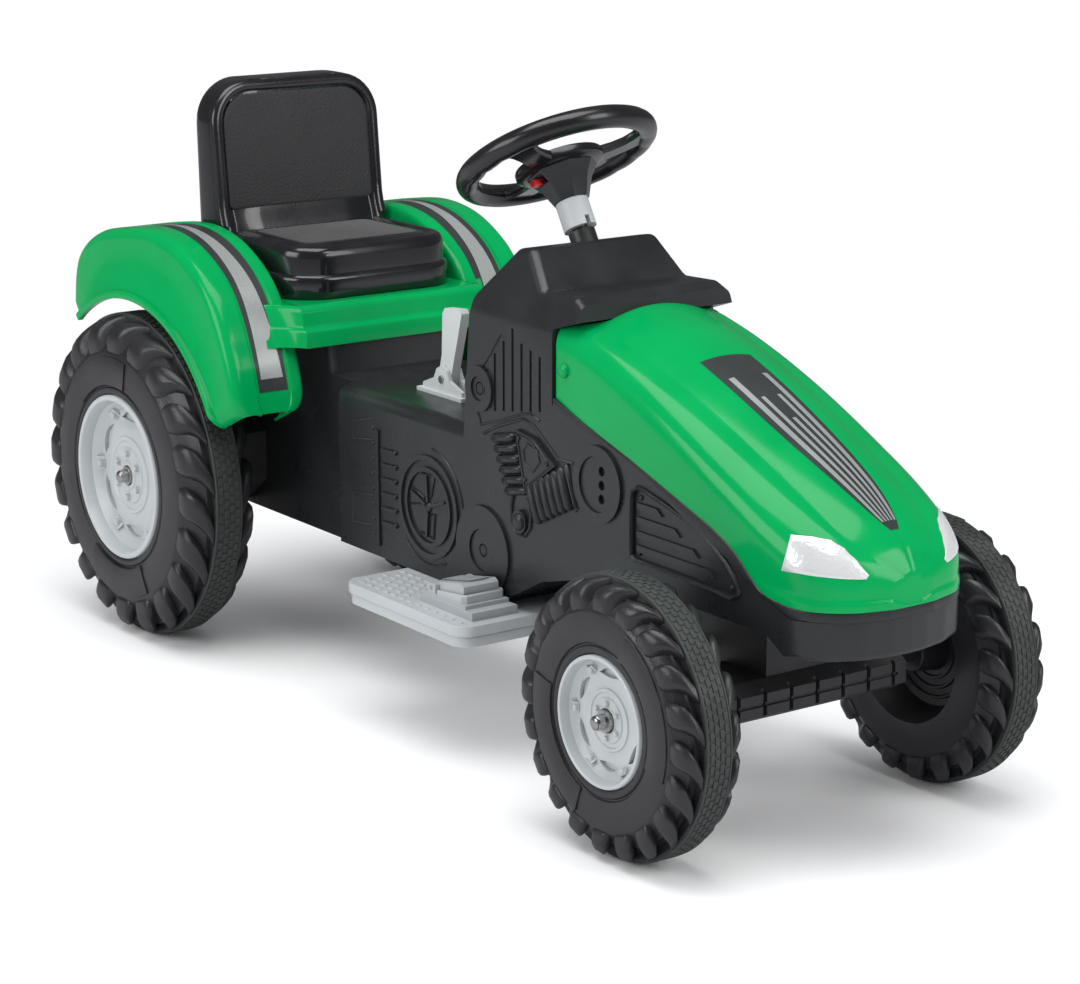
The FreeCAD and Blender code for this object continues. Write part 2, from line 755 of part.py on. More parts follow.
def side_reliefs(body, side):
    """Moulded relief on the outer wall: fan, finned engine, bosses, sockets and grilles."""
    half = D.body_half_width

    def raised(height):
        offset, length = slab(side, half - 2, half + height)
        sketch = new_sketch(body, "side", offset)
        return sketch, length

    def cut(depth, start=0):
        offset, length = slab(side, half + start - depth, half + start + 1)
        return new_sketch(body, "side", offset), length

    discs, length = raised(relief)
    circle(discs, *sunk_screws[0], 44)
    circle(discs, *sunk_screws[1], 22)
    circle(discs, 278, 290, 36)
    pad(discs, length)
    fan, length = raised(2.5)
    for ring_radius in (52, 47, 40, 36):
        circle(fan, 0, 211, ring_radius)
    for turn in (20, 95, 160, 265):
        reach = math.radians(turn)
        relief_bar(fan, 18 * math.cos(reach), 211 + 18 * math.sin(reach), 13, 1.5, turn)
    for rank in range(6):
        relief_bar(fan, -72, 178 + 15 * rank, 12, 2, 3)
    relief_bar(fan, -92, 212, 60, 3.5, 90)
    pad(fan, length)
    engine, length = raised(4)
    outline(engine, [(153, 318), (184, 314), (216, 295), (167, 262)])
    circle(engine, 158, 230, 11)
    pad(engine, length)
    fins, length = raised(6)
    for rank in range(6):
        relief_bar(fins, 131 + 4.4 * rank, 306 - 9.4 * rank, 15, 2.4, 12)
        relief_bar(fins, 181 + 9.6 * rank, 253 + 4.6 * rank, 17, 2.4, -66)
    pad(fins, length)
    socket, length = cut(2, relief)
    circle(socket, 278, 290, 26)
    circle(socket, *sunk_screws[0], 21)
    circle(socket, *sunk_screws[1], 12)
    pocket(socket, length, reverse=True)
    sockets, length = cut(3)
    for rise in (-13, 0, 13):
        circle(sockets, 284, 290 + rise, 4.5)
    pocket(sockets, length, reverse=True)
    grille, length = cut(1.5)
    outline(grille, [(331, 297), (326, 231), (474, 231), (458, 243), (345, 299)])
    for rank, top in enumerate((366, 384, 398, 412, 400, 396, 392)):
        x = 98 + 14.5 * rank
        outline(grille, [(x, 326 + 2.4 * rank), (x + 4, 326 + 2.4 * rank), (x + 4, top), (x, top)])
    pocket(grille, length, reverse=True)
    bars, length = raised(0.5)
    for rank, reach in enumerate((112, 88, 62, 36)):
        outline(bars, [(336, 240 + 13 * rank), (336 + reach, 240 + 13 * rank),
                       (336 + reach - 8, 246 + 13 * rank), (336, 246 + 13 * rank)])
    pad(bars, length)


def on_dash(edge):
    """Edges round the top of the dash, apart from those on the centre plane."""
    middle = edge.CenterOfMass
    return middle.z > dash_edge_z and abs(middle.y) > 1 and middle.x < dash_lip_x


def on_floor(edge):
    """Long edge where the floor meets the outer wall."""
    middle = edge.CenterOfMass
    on_wall = abs(abs(middle.y) - D.body_half_width.number) < 0.01
    return on_wall and is_along(edge, forward) and abs(middle.z - D.floor_height.number) < 0.01


def on_pedestal(edge):
    """Upright front corner of the part under the seat."""
    middle = edge.CenterOfMass
    on_wall = abs(abs(middle.y) - D.rear_half_width.number) < 0.01
    return on_wall and middle.z > D.floor_height.number and abs(middle.x - pedestal_front.number) < 10


def on_nose(edge):
    """Upright edges between the flats of the nose."""
    middle = edge.CenterOfMass
    return is_along(edge, up) and middle.x > bumper_start and abs(middle.y) > 1


def on_bumper(edge):
    """Foot of the bumper, round the nose."""
    middle = edge.CenterOfMass
    at_foot = abs(middle.z - D.bumper_bottom.number) < 0.01
    return at_foot and middle.x > bumper_start and abs(middle.y) > 1


def body_half(name, side):
    body = new_body(f"body_shell_{name}")
    half = D.body_half_width
    shells = ((body_outline, half), (rear_outline, D.rear_half_width))
    for points, width in shells:
        offset, length = slab(side, 0, width)
        sketch = new_sketch(body, "side", offset)
        outline(sketch, points)
        pad(sketch, length)
    slope = new_sketch(body, "front", D.tower_rear - 20)
    outline(slope, [
        (side * (half + 5), shoulder_z - 5), (side * D.dash_top_half, D.dash_top + 2),
        (side * (half + 5), D.dash_top + 2)])
    pocket(slope, 250, reverse=True)
    corner = new_sketch(body, "top")
    outline(corner, [(x, side * y) for x, y in nose_corner])
    pocket(corner, D.dash_top, reverse=True)
    round_edges(body, D.dash_rounding, on_dash)
    round_edges(body, D.floor_rounding, on_floor)
    round_edges(body, D.floor_rounding, on_pedestal)
    round_edges(body, D.nose_rounding, on_nose)
    round_edges(body, D.bumper_rounding, on_bumper)
    hollows = (
        (lower_hollow, half), (dash_hollow, D.dash_top_half), (rear_outline, D.rear_half_width))
    for points, width in hollows:
        depth = width - D.wall
        hollow = new_sketch(body, "side", 0 if side < 0 else -depth)
        outline(hollow, inset(points, D.wall))
        pocket(hollow, depth, reverse=True)
    side_reliefs(body, side)

    # Screw bosses, the tab that the hood is screwed to, and the bores through the walls
    offset, length = slab(side, 0, D.rear_half_width - 1)
    bosses = new_sketch(body, "side", offset)
    for x, z in screw_places:
        circle(bosses, x, z, D.boss_radius)
    pad(bosses, length)
    offset, length = slab(side, D.rear_half_width - 2, half - 1)
    long_bosses = new_sketch(body, "side", offset)
    for x, z in sunk_screws:
        circle(long_bosses, x, z, D.boss_radius)
    pad(long_bosses, length)
    offset, length = slab(side, 70, 87)
    tab = new_sketch(body, "side", offset)
    rectangle(tab, D.hood_rear - 4, 372, D.hood_rear + 24, 398)
    pad(tab, length)
    bores = new_sketch(body, "side")
    for x, z in screw_places:
        circle(bores, x, z, D.screw_radius)
    circle(bores, D.rear_axle_x, D.rear_tyre_radius, D.axle_radius + D.part_clearance)
    circle(bores, *hood_screw, D.screw_radius)
    pocket(bores, half * 3, both=True)
    offset, length = slab(side, half + relief - head_sink, half + relief + 1)
    heads = new_sketch(body, "side", offset)
    for x, z in sunk_screws:
        circle(heads, x, z, D.screw_head_radius + 1)
    pocket(heads, length, reverse=True)
    if side < 0:
        window = new_sketch(body, "side", D.rear_half_width - D.wall - 1)
        circle(window, *motor_place, D.motor_radius + D.part_clearance)
        pocket(window, D.wall + 2, reverse=True)
    bore = new_sketch(body, "top")
    bore.AttachmentOffset = column
    bind(bore, "AttachmentOffset.Base.z", D.ring_z)
    circle(bore, 0, 0, bush_radius + D.run_clearance)
    pocket(bore, D.shaft_length)


for name, side in SIDES.items():
    body_half(name, side)

# Two bushes carry the steering shaft, one in the dash and one in the nose floor
bushes = new_body("steering_bushes", column)
dash_reach = (D.ring_z - D.dash_top) / cos_lean
floor_reach = (D.ring_z - D.nose_floor) / cos_lean
bushes.AllowCompound = True
for reach in (dash_reach, floor_reach):
    bush = new_sketch(bushes, "top", -reach - 10)
    circle(bush, 0, 0, bush_radius)
    circle(bush, 0, 0, D.shaft_radius + D.run_clearance)
    pad(bush, 16)

# Hood: a lofted skin, wide at the dash and drawn in to the nose
HOOD_STATIONS = [
    # x, half width, crown height, crown above shoulder, shoulder radius
    (208, 92, 447, 15, 26), (290, 95, 426, 15, 30), (370, 97, 398, 15, 34), (450, 97, 363, 14, 38),
    (520, 94, 329, 13, 40), (562, 82, 303, 11, 36), (584, 56, 284, 9, 26), (594, 24, 266, 5, 14)]
hood_shift = D.hood_rear.number - HOOD_STATIONS[0][0]
hood_foot = 190
hood_steps = 3


def blended_stations():
    """The stations with steps between them, on a smooth curve through each column."""
    last = len(HOOD_STATIONS) - 1
    stations = []
    for i in range(last):
        four = [HOOD_STATIONS[min(max(i + k, 0), last)] for k in (-1, 0, 1, 2)]
        slopes = []
        for before, after in ((four[0], four[2]), (four[1], four[3])):
            span = after[0] - before[0]
            slopes.append([(b - a) / span for a, b in zip(before, after)])
        run = four[2][0] - four[1][0]
        for step in range(hood_steps):
            t = step / hood_steps
            stations.append([
                (2 * t**3 - 3 * t**2 + 1) * a + (t**3 - 2 * t**2 + t) * run * m
                + (3 * t**2 - 2 * t**3) * b + (t**3 - t**2) * run * n
                for a, b, m, n in zip(four[1], four[2], *slopes)])
    return stations + [list(HOOD_STATIONS[last])]


def hood_section(x, half, top, crown, corner):
    """Closed section: upright sides, round shoulders and a crowned top."""
    shoulder = top - crown
    slant = corner * (1 - math.sqrt(0.5))
    run = half - corner
    foot_right, foot_left = Vector(x, -half, hood_foot), Vector(x, half, hood_foot)
    side_right, side_left = Vector(x, -half, shoulder - corner), Vector(x, half, shoulder - corner)
    top_right, top_left = Vector(x, -run, shoulder), Vector(x, run, shoulder)
    bend_right = Vector(x, slant - half, shoulder - slant)
    bend_left = Vector(x, half - slant, shoulder - slant)
    edges = [
        Part.makeLine(foot_right, side_right), Part.Arc(side_right, bend_right, top_right).toShape(),
        Part.Arc(top_right, Vector(x, 0, top), top_left).toShape(),
        Part.Arc(top_left, bend_left, side_left).toShape(), Part.makeLine(side_left, foot_left),
        Part.makeLine(foot_left, foot_right)]
    return Part.Wire(edges)


def hood_loft(grow, rear_reach=0):
    """Solid through the stations, its skin moved out by grow."""
    wires = []
    stations = blended_stations()
    for index, (x, half, top, crown, corner) in enumerate(stations):
        x += hood_shift
        if index == 0:
            x -= rear_reach
        if index == len(stations) - 1:
            x += grow
        wires.append(hood_section(x, half + grow, top + grow, crown, corner + grow))
    return Part.makeLoft(wires, True, True)


def side_prism(points, half):
    """Solid with a side outline of (x, z) points, as wide as twice half."""
    corners = [Vector(number(x), -number(half), number(z)) for x, z in points]
    return Part.Face(Part.makePolygon(corners + corners[:1])).extrude(Vector(0, 2 * number(half), 0))


seam = D.part_clearance.number
hood_skin = hood_loft(0)
hood = hood_skin.cut(hood_loft(-D.hood_wall.number, 5))
line = [(number(x), number(z) + seam) for x, z in hood_seat]
below = [(100, 100), (700, 100), (700, line[-1][1])] + line[::-1] + [(100, line[0][1])]
hood = hood.cut(side_prism(below, 150))
notch = [(number(x) + seam, number(z) - seam) for x, z in ledge_low]
above = [(100, notch[0][1]), notch[0], notch[1], (notch[1][0], 600), (100, 600)]
hood = hood.cut(side_prism(above, 150))
hole_start = Vector(hood_screw[0].number, -200, hood_screw[1])
hood_hole = Part.makeCylinder(D.screw_radius.number, 400, hole_start, Vector(0, 1, 0))
hood = hood.cut(hood_hole)
shaped("hood", hood)

# Headlights: silver lenses that follow the skin of the nose corners
lens_outline = [(91, 297), (35, 260), (62, 256), (95, 269)]
lens_shell = hood_loft(D.lens_thickness.number).cut(hood_skin)
for name, side in SIDES.items():
    corners = [Vector(515, side * y, z) for y, z in lens_outline]
    prism = Part.Face(Part.makePolygon(corners + corners[:1])).extrude(Vector(100, 0, 0))
    shaped(f"headlight_{name}", lens_shell.common(prism))

# Fender deck: both arches and the stepped deck between them, one moulding open from below
fender_outline = [
    (-204, 276), (-222, 340), (-258, 398), (-308, 430), (-363, 444), (-440, 440), (-505, 425), (-545, 396),
    (-556, 352), (-530, 346)]
deck_outline = [
    (D.deck_rear, D.deck_bottom), (D.deck_front, D.deck_bottom), (D.deck_front, D.deck_bottom + 18),
    (D.deck_front - 7, D.deck_bottom + 20), (D.deck_front - 9, D.deck_top - 4),
    (D.deck_front - 15, D.deck_top), (D.deck_rear, D.deck_top)]
axle_shift = D.rear_axle_x + 420
fender_points = [(axle_shift + x, z) for x, z in fender_outline]
rim_rear = number(axle_shift) - 540
rim_low = 300


def on_fender_rim(edge):
    """Edges along the outer rim of a fender, above its skirt."""
    middle = edge.CenterOfMass
    return abs(abs(middle.y) - D.fender_outer.number) < 0.01 and middle.z > rim_low and middle.x > rim_rear


deck = new_body("fender_deck")
for side in SIDES.values():
    offset, length = slab(side, D.fender_inner, D.fender_outer)
    sketch = new_sketch(deck, "side", offset)
    outline(sketch, fender_points)
    pad(sketch, length)
round_edges(deck, D.fender_rounding, on_fender_rim)
bridge = new_sketch(deck, "side", -D.deck_half_width)
outline(bridge, deck_outline)
pad(bridge, D.deck_half_width * 2)
inner_fender = inset(fender_points, D.fender_wall)
opening_drop = 90
inner_fender[0] = (inner_fender[0][0], inner_fender[0][1] - opening_drop)
inner_fender[-2] = (inner_fender[-2][0], inner_fender[-2][1] - opening_drop)
del inner_fender[-1]
for side in SIDES.values():
    offset, length = slab(side, D.fender_inner + D.fender_wall, D.fender_outer - D.fender_wall)
    sketch = new_sketch(deck, "side", offset)
    outline(sketch, inner_fender)
    pocket(sketch, length, reverse=True)
arch = new_sketch(deck, "side")
circle(arch, D.rear_axle_x, D.rear_tyre_radius, D.arch_radius)
pocket(arch, D.fender_outer * 3, both=True)
inner_deck = inset(deck_outline, D.fender_wall)
for index in (0, 1):
    inner_deck[index] = (inner_deck[index][0], inner_deck[index][1] - opening_drop)
under = new_sketch(deck, "side", -D.fender_inner + 3)
outline(under, inner_deck)
pocket(under, D.fender_inner * 2 - 6, reverse=True)

# Seat: a two-step base with round front corners, and a raked back with round top corners
seat = new_body("seat")
for low, high, draw in ((D.deck_top, D.deck_top + 26, 0), (D.deck_top + 25, D.seat_pan, 4)):
    base = new_sketch(seat, "top", low)
    width = D.seat_half_width - draw
    rectangle(base, D.seat_rear, -width, D.seat_front - draw, width)
    pad(base, high - low)
back_rest = new_sketch(seat, "side", -D.seat_half_width)
lean_back = 6
outline(back_rest, [
    (D.seat_rear, D.seat_pan - 8), (D.seat_rear + 56, D.seat_pan - 8), (D.seat_rear + 54, D.seat_pan + 5),
    (D.seat_rear + 46, D.seat_pan + 22), (D.seat_rear + D.back_thickness - lean_back, D.seat_top),
    (D.seat_rear - lean_back, D.seat_top - 3)])
pad(back_rest, D.seat_half_width * 2)


def at_seat_front(edge):
    return is_along(edge, up) and edge.CenterOfMass.x > D.seat_front.number - 20


def at_back_top(edge):
    middle = edge.CenterOfMass
    return abs(abs(middle.y) - D.seat_half_width.number) < 0.01 and middle.z > D.seat_top.number - 10


round_edges(seat, D.seat_corner, at_seat_front)
round_edges(seat, D.seat_corner, at_back_top)
seat_hollow = new_sketch(seat, "top", D.deck_top)
seat_wall = D.seat_corner / 3
rectangle(seat_hollow, D.seat_rear + 4, -D.seat_half_width + seat_wall, D.seat_front - seat_wall,
          D.seat_half_width - seat_wall)
pocket(seat_hollow, D.seat_pan - D.deck_top - 5, reverse=True)

# Footboard: two moulded halves across the machine, under the body
board_top = D.body_bottom
board_middle = board_top - D.board_thickness / 2
board_low = board_top - D.board_thickness
boards = (
    ("footboard_upper", board_middle, 0, board_middle), ("footboard_lower", board_low, 2, board_low + D.wall))
for label, low, draw, tray_low in boards:
    board = new_body(label)
    sketch = new_sketch(board, "top", low)
    width = D.board_half_width - draw
    rectangle(sketch, D.board_rear + draw, -width, D.board_front - draw, width)
    pad(sketch, D.board_thickness / 2)
    round_edges(board, D.board_corner, lambda edge: is_along(edge, up))
    tray = new_sketch(board, "top", tray_low)
    rim = D.board_corner / 2 + draw
    tray_half = D.board_half_width - rim
    rectangle(tray, D.board_rear + rim, -tray_half, D.board_front - rim, tray_half)
    pocket(tray, D.board_thickness / 2 - D.wall, reverse=True)

# Pedal housing on the right of the footboard, with its switch, hinge pin and pedal
housing_top = board_top + D.housing_height
hinge_z = housing_top + 5
pedal_right = D.pedal_y - D.pedal_width / 2
pedal_left = D.pedal_y + D.pedal_width / 2
housing = new_body("pedal_housing")
foot = new_sketch(housing, "top", board_top)
rectangle(foot, D.pedal_hinge_x - 18, pedal_right - 6, D.pedal_hinge_x + 71, pedal_left + 6)
pad(foot, D.housing_height - 4)
step = new_sketch(housing, "top", board_top + D.housing_height - 5)
rectangle(step, D.pedal_hinge_x - 14, pedal_right - 5, D.pedal_hinge_x + 58, pedal_left + 5)
pad(step, 5)
right_ear = (pedal_right - 5, pedal_right - D.part_clearance)
left_ear = (pedal_left + D.part_clearance, pedal_left + 5)
for near, far in (right_ear, left_ear):
    ear = new_sketch(housing, "top", housing_top - 1)
    rectangle(ear, D.pedal_hinge_x - 7, near, D.pedal_hinge_x + 7, far)
    pad(ear, 10)
switch_half = 10
well = new_sketch(housing, "top", housing_top - 9)
rectangle(well, D.pedal_hinge_x + 18, D.pedal_y - switch_half, D.pedal_hinge_x + 42, D.pedal_y + switch_half)
pocket(well, 10, reverse=True)
hinge_hole = new_sketch(housing, "side")
circle(hinge_hole, D.pedal_hinge_x, hinge_z, 2)
pocket(hinge_hole, D.board_half_width * 2, both=True)
pin_reach = D.pedal_width + 10
primitive("Cylinder", "pedal_pin",
          at(D.pedal_hinge_x, pedal_left + 5, hinge_z, FreeCAD.Rotation(Vector(1, 0, 0), 90)),
          Radius=2, Height=pin_reach)
switch_body = new_body("pedal_switch")
block = new_sketch(switch_body, "top", housing_top - 9)
rectangle(block, D.pedal_hinge_x + 18.2, D.pedal_y - switch_half + 0.2, D.pedal_hinge_x + 41.8,
          D.pedal_y + switch_half - 0.2)
pad(block, 8.5)
plunger = new_sketch(switch_body, "top", housing_top - 1)
circle(plunger, D.pedal_hinge_x + 28, D.pedal_y, 2.5)
pad(plunger, 1.8)
pedal = new_body("accelerator_pedal")
pedal_end = D.pedal_hinge_x + D.pedal_length
wedge = new_sketch(pedal, "side", -pedal_left)
outline(wedge, [
    (D.pedal_hinge_x - 5, housing_top + 1), (D.pedal_hinge_x + 8, housing_top + 1),
    (pedal_end, housing_top + 7.5), (pedal_end, housing_top + 15), (pedal_end - 5, housing_top + 18),
    (D.pedal_hinge_x - 5, housing_top + 9)])
pad(wedge, D.pedal_width)
pedal_bore = new_sketch(pedal, "side")
circle(pedal_bore, D.pedal_hinge_x, hinge_z, 2 + D.run_clearance)
pocket(pedal_bore, D.board_half_width * 2, both=True)

# Gear lever: a flat lever between the two cheeks of a bracket that stands on the floor
pivot_z = D.floor_height + D.lever_pivot_height
cheek = 4
lever_half = D.lever_thickness / 2
bracket = new_body("lever_bracket")
foot = new_sketch(bracket, "top", D.floor_height)
rectangle(foot, D.lever_pivot_x - 40, D.lever_y - 13, D.lever_pivot_x + 40, D.lever_y + 13)
pad(foot, 4)
for near, far in ((lever_half + D.part_clearance, lever_half + D.part_clearance + cheek),
                  (-lever_half - D.part_clearance - cheek, -lever_half - D.part_clearance)):
    plate = new_sketch(bracket, "side", -(D.lever_y + far))
    outline(plate, [
        (D.lever_pivot_x + x, z) for x, z in (
            (-34, D.floor_height + 3), (36, D.floor_height + 3), (36, D.floor_height + 9), (14, pivot_z),
            (9, pivot_z + 10), (0, pivot_z + 14), (-9, pivot_z + 10), (-14, pivot_z),
            (-34, D.floor_height + 9))])
    pad(plate, far - near)
pin_bore = new_sketch(bracket, "side")
circle(pin_bore, D.lever_pivot_x, pivot_z, D.lever_pin_radius)
pocket(pin_bore, D.body_half_width * 2, both=True)
pin_width = D.lever_thickness + 2 * cheek + 4
primitive("Cylinder", "lever_pin",
          at(D.lever_pivot_x, D.lever_y + pin_width / 2, pivot_z, FreeCAD.Rotation(Vector(1, 0, 0), 90)),
          Radius=D.lever_pin_radius, Height=pin_width)
lever = new_body("gear_lever")
grip = new_sketch(lever, "side", -(D.lever_y + lever_half))
lever_top = pivot_z + D.lever_length
outline(grip, [
    (D.lever_pivot_x + x, z) for x, z in (
        (-8, pivot_z - 9), (8, pivot_z - 9), (11, pivot_z + 4), (24, lever_top - 26), (30, lever_top - 4),
        (26, lever_top), (0, lever_top - 2), (-4, lever_top - 8), (-6, pivot_z + 24), (-11, pivot_z + 4))])
pad(grip, D.lever_thickness)
grip_bore = new_sketch(lever, "side")
circle(grip_bore, D.lever_pivot_x, pivot_z, D.lever_pin_radius + D.run_clearance)
pocket(grip_bore, D.body_half_width * 2, both=True)

# Drive: a gearbox on the right of the rear body, its motor inside, and the hub that turns the wheel
gearbox = new_body("gearbox")
case = new_sketch(gearbox, "side", D.rear_half_width)
outline(case, [
    (D.rear_axle_x + x, D.rear_tyre_radius + z)
    for x, z in ((-38, -22), (-16, -38), (32, -38), (74, -8), (74, 46), (48, 62), (-8, 44), (-38, 18))])
pad(case, D.gearbox_depth)
axle_hole = new_sketch(gearbox, "side")
circle(axle_hole, D.rear_axle_x, D.rear_tyre_radius, D.axle_radius + D.run_clearance)
pocket(axle_hole, D.rear_track_half * 2, both=True)
hub_floor = D.rear_half_width + D.gearbox_depth - 13
hub_bore = new_sketch(gearbox, "side", hub_floor)
circle(hub_bore, D.rear_axle_x, D.rear_tyre_radius, D.drive_hub_radius + D.part_clearance)
pocket(hub_bore, 20, reverse=True)
drive_hub = new_body("drive_hub")
hub_start = hub_floor + D.part_clearance
hub_stop = D.rear_track_half - D.rear_tyre_width / 2 + 5
tube = new_sketch(drive_hub, "side", hub_start)
circle(tube, D.rear_axle_x, D.rear_tyre_radius, D.drive_hub_radius)
circle(tube, D.rear_axle_x, D.rear_tyre_radius, D.axle_radius + D.run_clearance)
pad(tube, hub_stop - hub_start)
primitive("Cylinder", "drive_motor",
          at(motor_place[0], -D.rear_half_width, motor_place[1], FreeCAD.Rotation(Vector(1, 0, 0), -90)),
          Radius=D.motor_radius, Height=D.motor_length)

# Battery on the floor of the rear body, held by a strap
battery_x = D.body_rear - 20 - D.battery_length
battery_z = D.rear_bottom + D.wall
primitive("Box", "battery", at(battery_x, -D.battery_width / 2, battery_z),
          Length=D.battery_length, Width=D.battery_width, Height=D.battery_height)
strap = new_body("battery_strap")
band = new_sketch(strap, "front", battery_x + D.battery_length / 2 - 10)
inner_y = D.battery_width / 2 + D.part_clearance / 2
outer_y = inner_y + D.strap_thickness
inner_z = battery_z + D.battery_height + D.part_clearance / 2
outer_z = inner_z + D.strap_thickness
outline(band, [
    (-outer_y, battery_z), (-inner_y, battery_z), (-inner_y, inner_z), (inner_y, inner_z),
    (inner_y, battery_z), (outer_y, battery_z), (outer_y, outer_z), (-outer_y, outer_z)])
pad(band, 20)

# Screws: long ones that draw the two halves together from the right, short ones in the hood's corners
body_screws = new_body("body_screws")
body_screws.AllowCompound = True
sunk_seat = D.body_half_width + relief - head_sink
for (x, z), under_head in zip(screw_places, (sunk_seat, sunk_seat, D.rear_half_width)):
    head = new_sketch(body_screws, "side", under_head)
    circle(head, x, z, D.screw_head_radius)
    pad(head, 3)
    shank = new_sketch(body_screws, "side", -40)
    circle(shank, x, z, D.screw_radius)
    pad(shank, under_head + 41)
hood_screws = new_body("hood_screws")
hood_screws.AllowCompound = True
for side in SIDES.values():
    skin = HOOD_STATIONS[0][1] + 1
    offset, length = slab(side, skin, skin + 2.5)
    head = new_sketch(hood_screws, "side", offset)
    circle(head, *hood_screw, D.screw_head_radius)
    pad(head, length)
    offset, length = slab(side, 72, skin + 1)
    shank = new_sketch(hood_screws, "side", offset)
    circle(shank, *hood_screw, D.screw_radius)
    pad(shank, length)

doc.recompute()
faults = [item.Label for item in doc.Objects if "Invalid" in item.State or "Error" in item.State]
faults += [item.Label for item in NODES if item.Shape.isNull() or not item.Shape.isValid()]
if faults:
    raise RuntimeError("failed: " + ", ".join(faults))
os.makedirs("parts", exist_ok=True)
for item in NODES:
    item.Shape.exportStep(f"parts/{item.Label}.step")
print(len(NODES), "nodes")
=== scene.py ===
import math

import bmesh
import bpy
from mathutils import Matrix, Vector


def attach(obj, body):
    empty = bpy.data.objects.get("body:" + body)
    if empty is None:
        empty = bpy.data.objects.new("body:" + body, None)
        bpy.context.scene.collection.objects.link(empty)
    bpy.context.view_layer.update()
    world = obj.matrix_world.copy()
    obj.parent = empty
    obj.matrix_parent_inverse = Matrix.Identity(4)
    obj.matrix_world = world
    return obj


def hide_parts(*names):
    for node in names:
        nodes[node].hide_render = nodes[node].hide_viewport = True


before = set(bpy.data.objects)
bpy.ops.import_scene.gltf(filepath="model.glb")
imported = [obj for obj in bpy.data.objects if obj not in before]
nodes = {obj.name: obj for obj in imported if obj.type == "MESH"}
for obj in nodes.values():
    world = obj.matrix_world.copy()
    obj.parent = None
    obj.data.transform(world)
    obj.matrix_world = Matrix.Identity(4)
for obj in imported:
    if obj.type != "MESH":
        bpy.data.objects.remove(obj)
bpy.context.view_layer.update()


# Body halves. Two blow-moulded charcoal shells meet on the centre plane, with engine, fan and grille
# reliefs moulded into their walls. Long screws draw them together from the right-hand side.
def new_piece(name, mesh):
    piece = bpy.data.objects.new(name, mesh)
    bpy.context.scene.collection.objects.link(piece)
    return piece


def plain_mesh(piece):
    """Make what the modifiers give the piece's own mesh."""
    bpy.context.view_layer.update()
    depsgraph = bpy.context.evaluated_depsgraph_get()
    mesh = bpy.data.meshes.new_from_object(piece.evaluated_get(depsgraph))
    piece.modifiers.clear()
    piece.data = mesh


def shade_by_angle(bm, degrees):
    for face in bm.faces:
        face.smooth = True
    for edge in bm.edges:
        edge.smooth = len(edge.link_faces) == 2 and edge.calc_face_angle(0) < math.radians(degrees)


def finished(bm, degrees, towards=None):
    """Mesh that is smooth below an angle. An open skin is turned to face one way, a closed one outwards."""
    if towards is None:
        bmesh.ops.recalc_face_normals(bm, faces=bm.faces)
    else:
        bm.normal_update()
        if sum(face.normal.dot(towards) * face.calc_area() for face in bm.faces) < 0:
            bmesh.ops.reverse_faces(bm, faces=bm.faces)
    shade_by_angle(bm, degrees)
    mesh = bpy.data.meshes.new("piece")
    bm.to_mesh(mesh)
    bm.free()
    return mesh


def fit(piece, body, slot, material, *stands_for):
    """Give a finished piece its material and its body, and hide the CAD nodes that it stands for."""
    piece.data.materials.clear()
    piece.data.materials.append(material)
    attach(piece, body)
    if stands_for:
        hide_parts(*stands_for)
    return piece


MERGE_DISTANCE = 1e-5
FLAT_ANGLE, SMOOTH_ANGLE = 0.5, 32


def soft_copy(name, node, body, slot, material, radius, bend=24):
    """Copy of a CAD solid with its triangles merged and its edges rounded as a mould leaves them."""
    bm = bmesh.new()
    bm.from_mesh(nodes[node].data)
    bmesh.ops.remove_doubles(bm, verts=bm.verts, dist=MERGE_DISTANCE)
    bmesh.ops.dissolve_limit(bm, angle_limit=math.radians(FLAT_ANGLE), verts=bm.verts, edges=bm.edges)
    mesh = bpy.data.meshes.new(name)
    bm.to_mesh(mesh)
    bm.free()
    piece = new_piece(name, mesh)
    rounding = piece.modifiers.new("rounding", "BEVEL")
    rounding.limit_method = "ANGLE"
    rounding.angle_limit = math.radians(bend)
    rounding.width = radius
    rounding.segments = 2
    plain_mesh(piece)
    bm = bmesh.new()
    bm.from_mesh(piece.data)
    shade_by_angle(bm, SMOOTH_ANGLE)
    bm.to_mesh(piece.data)
    bm.free()
    weighted = piece.modifiers.new("normals", "WEIGHTED_NORMAL")
    weighted.keep_sharp = True
    plain_mesh(piece)
    return fit(piece, body, slot, material, node)


def set_inputs(node, values):
    for label, value in values.items():
        node.inputs[label].default_value = value


def wire(tree, *joins):
    """Link nodes, each join as (node, its output, next node, its input)."""
    for node, output, goal, label in joins:
        tree.links.new(node.outputs[output], goal.inputs[label])


def shader_group(name, inputs, outputs):
    """Empty shader group with float sockets, and its two end nodes."""
    group = bpy.data.node_groups.new(name, "ShaderNodeTree")
    for labels, way in ((inputs, "INPUT"), (outputs, "OUTPUT")):
        for label in labels:
            group.interface.new_socket(label, in_out=way, socket_type="NodeSocketFloat")
    return group, group.nodes.new("NodeGroupInput"), group.nodes.new("NodeGroupOutput")


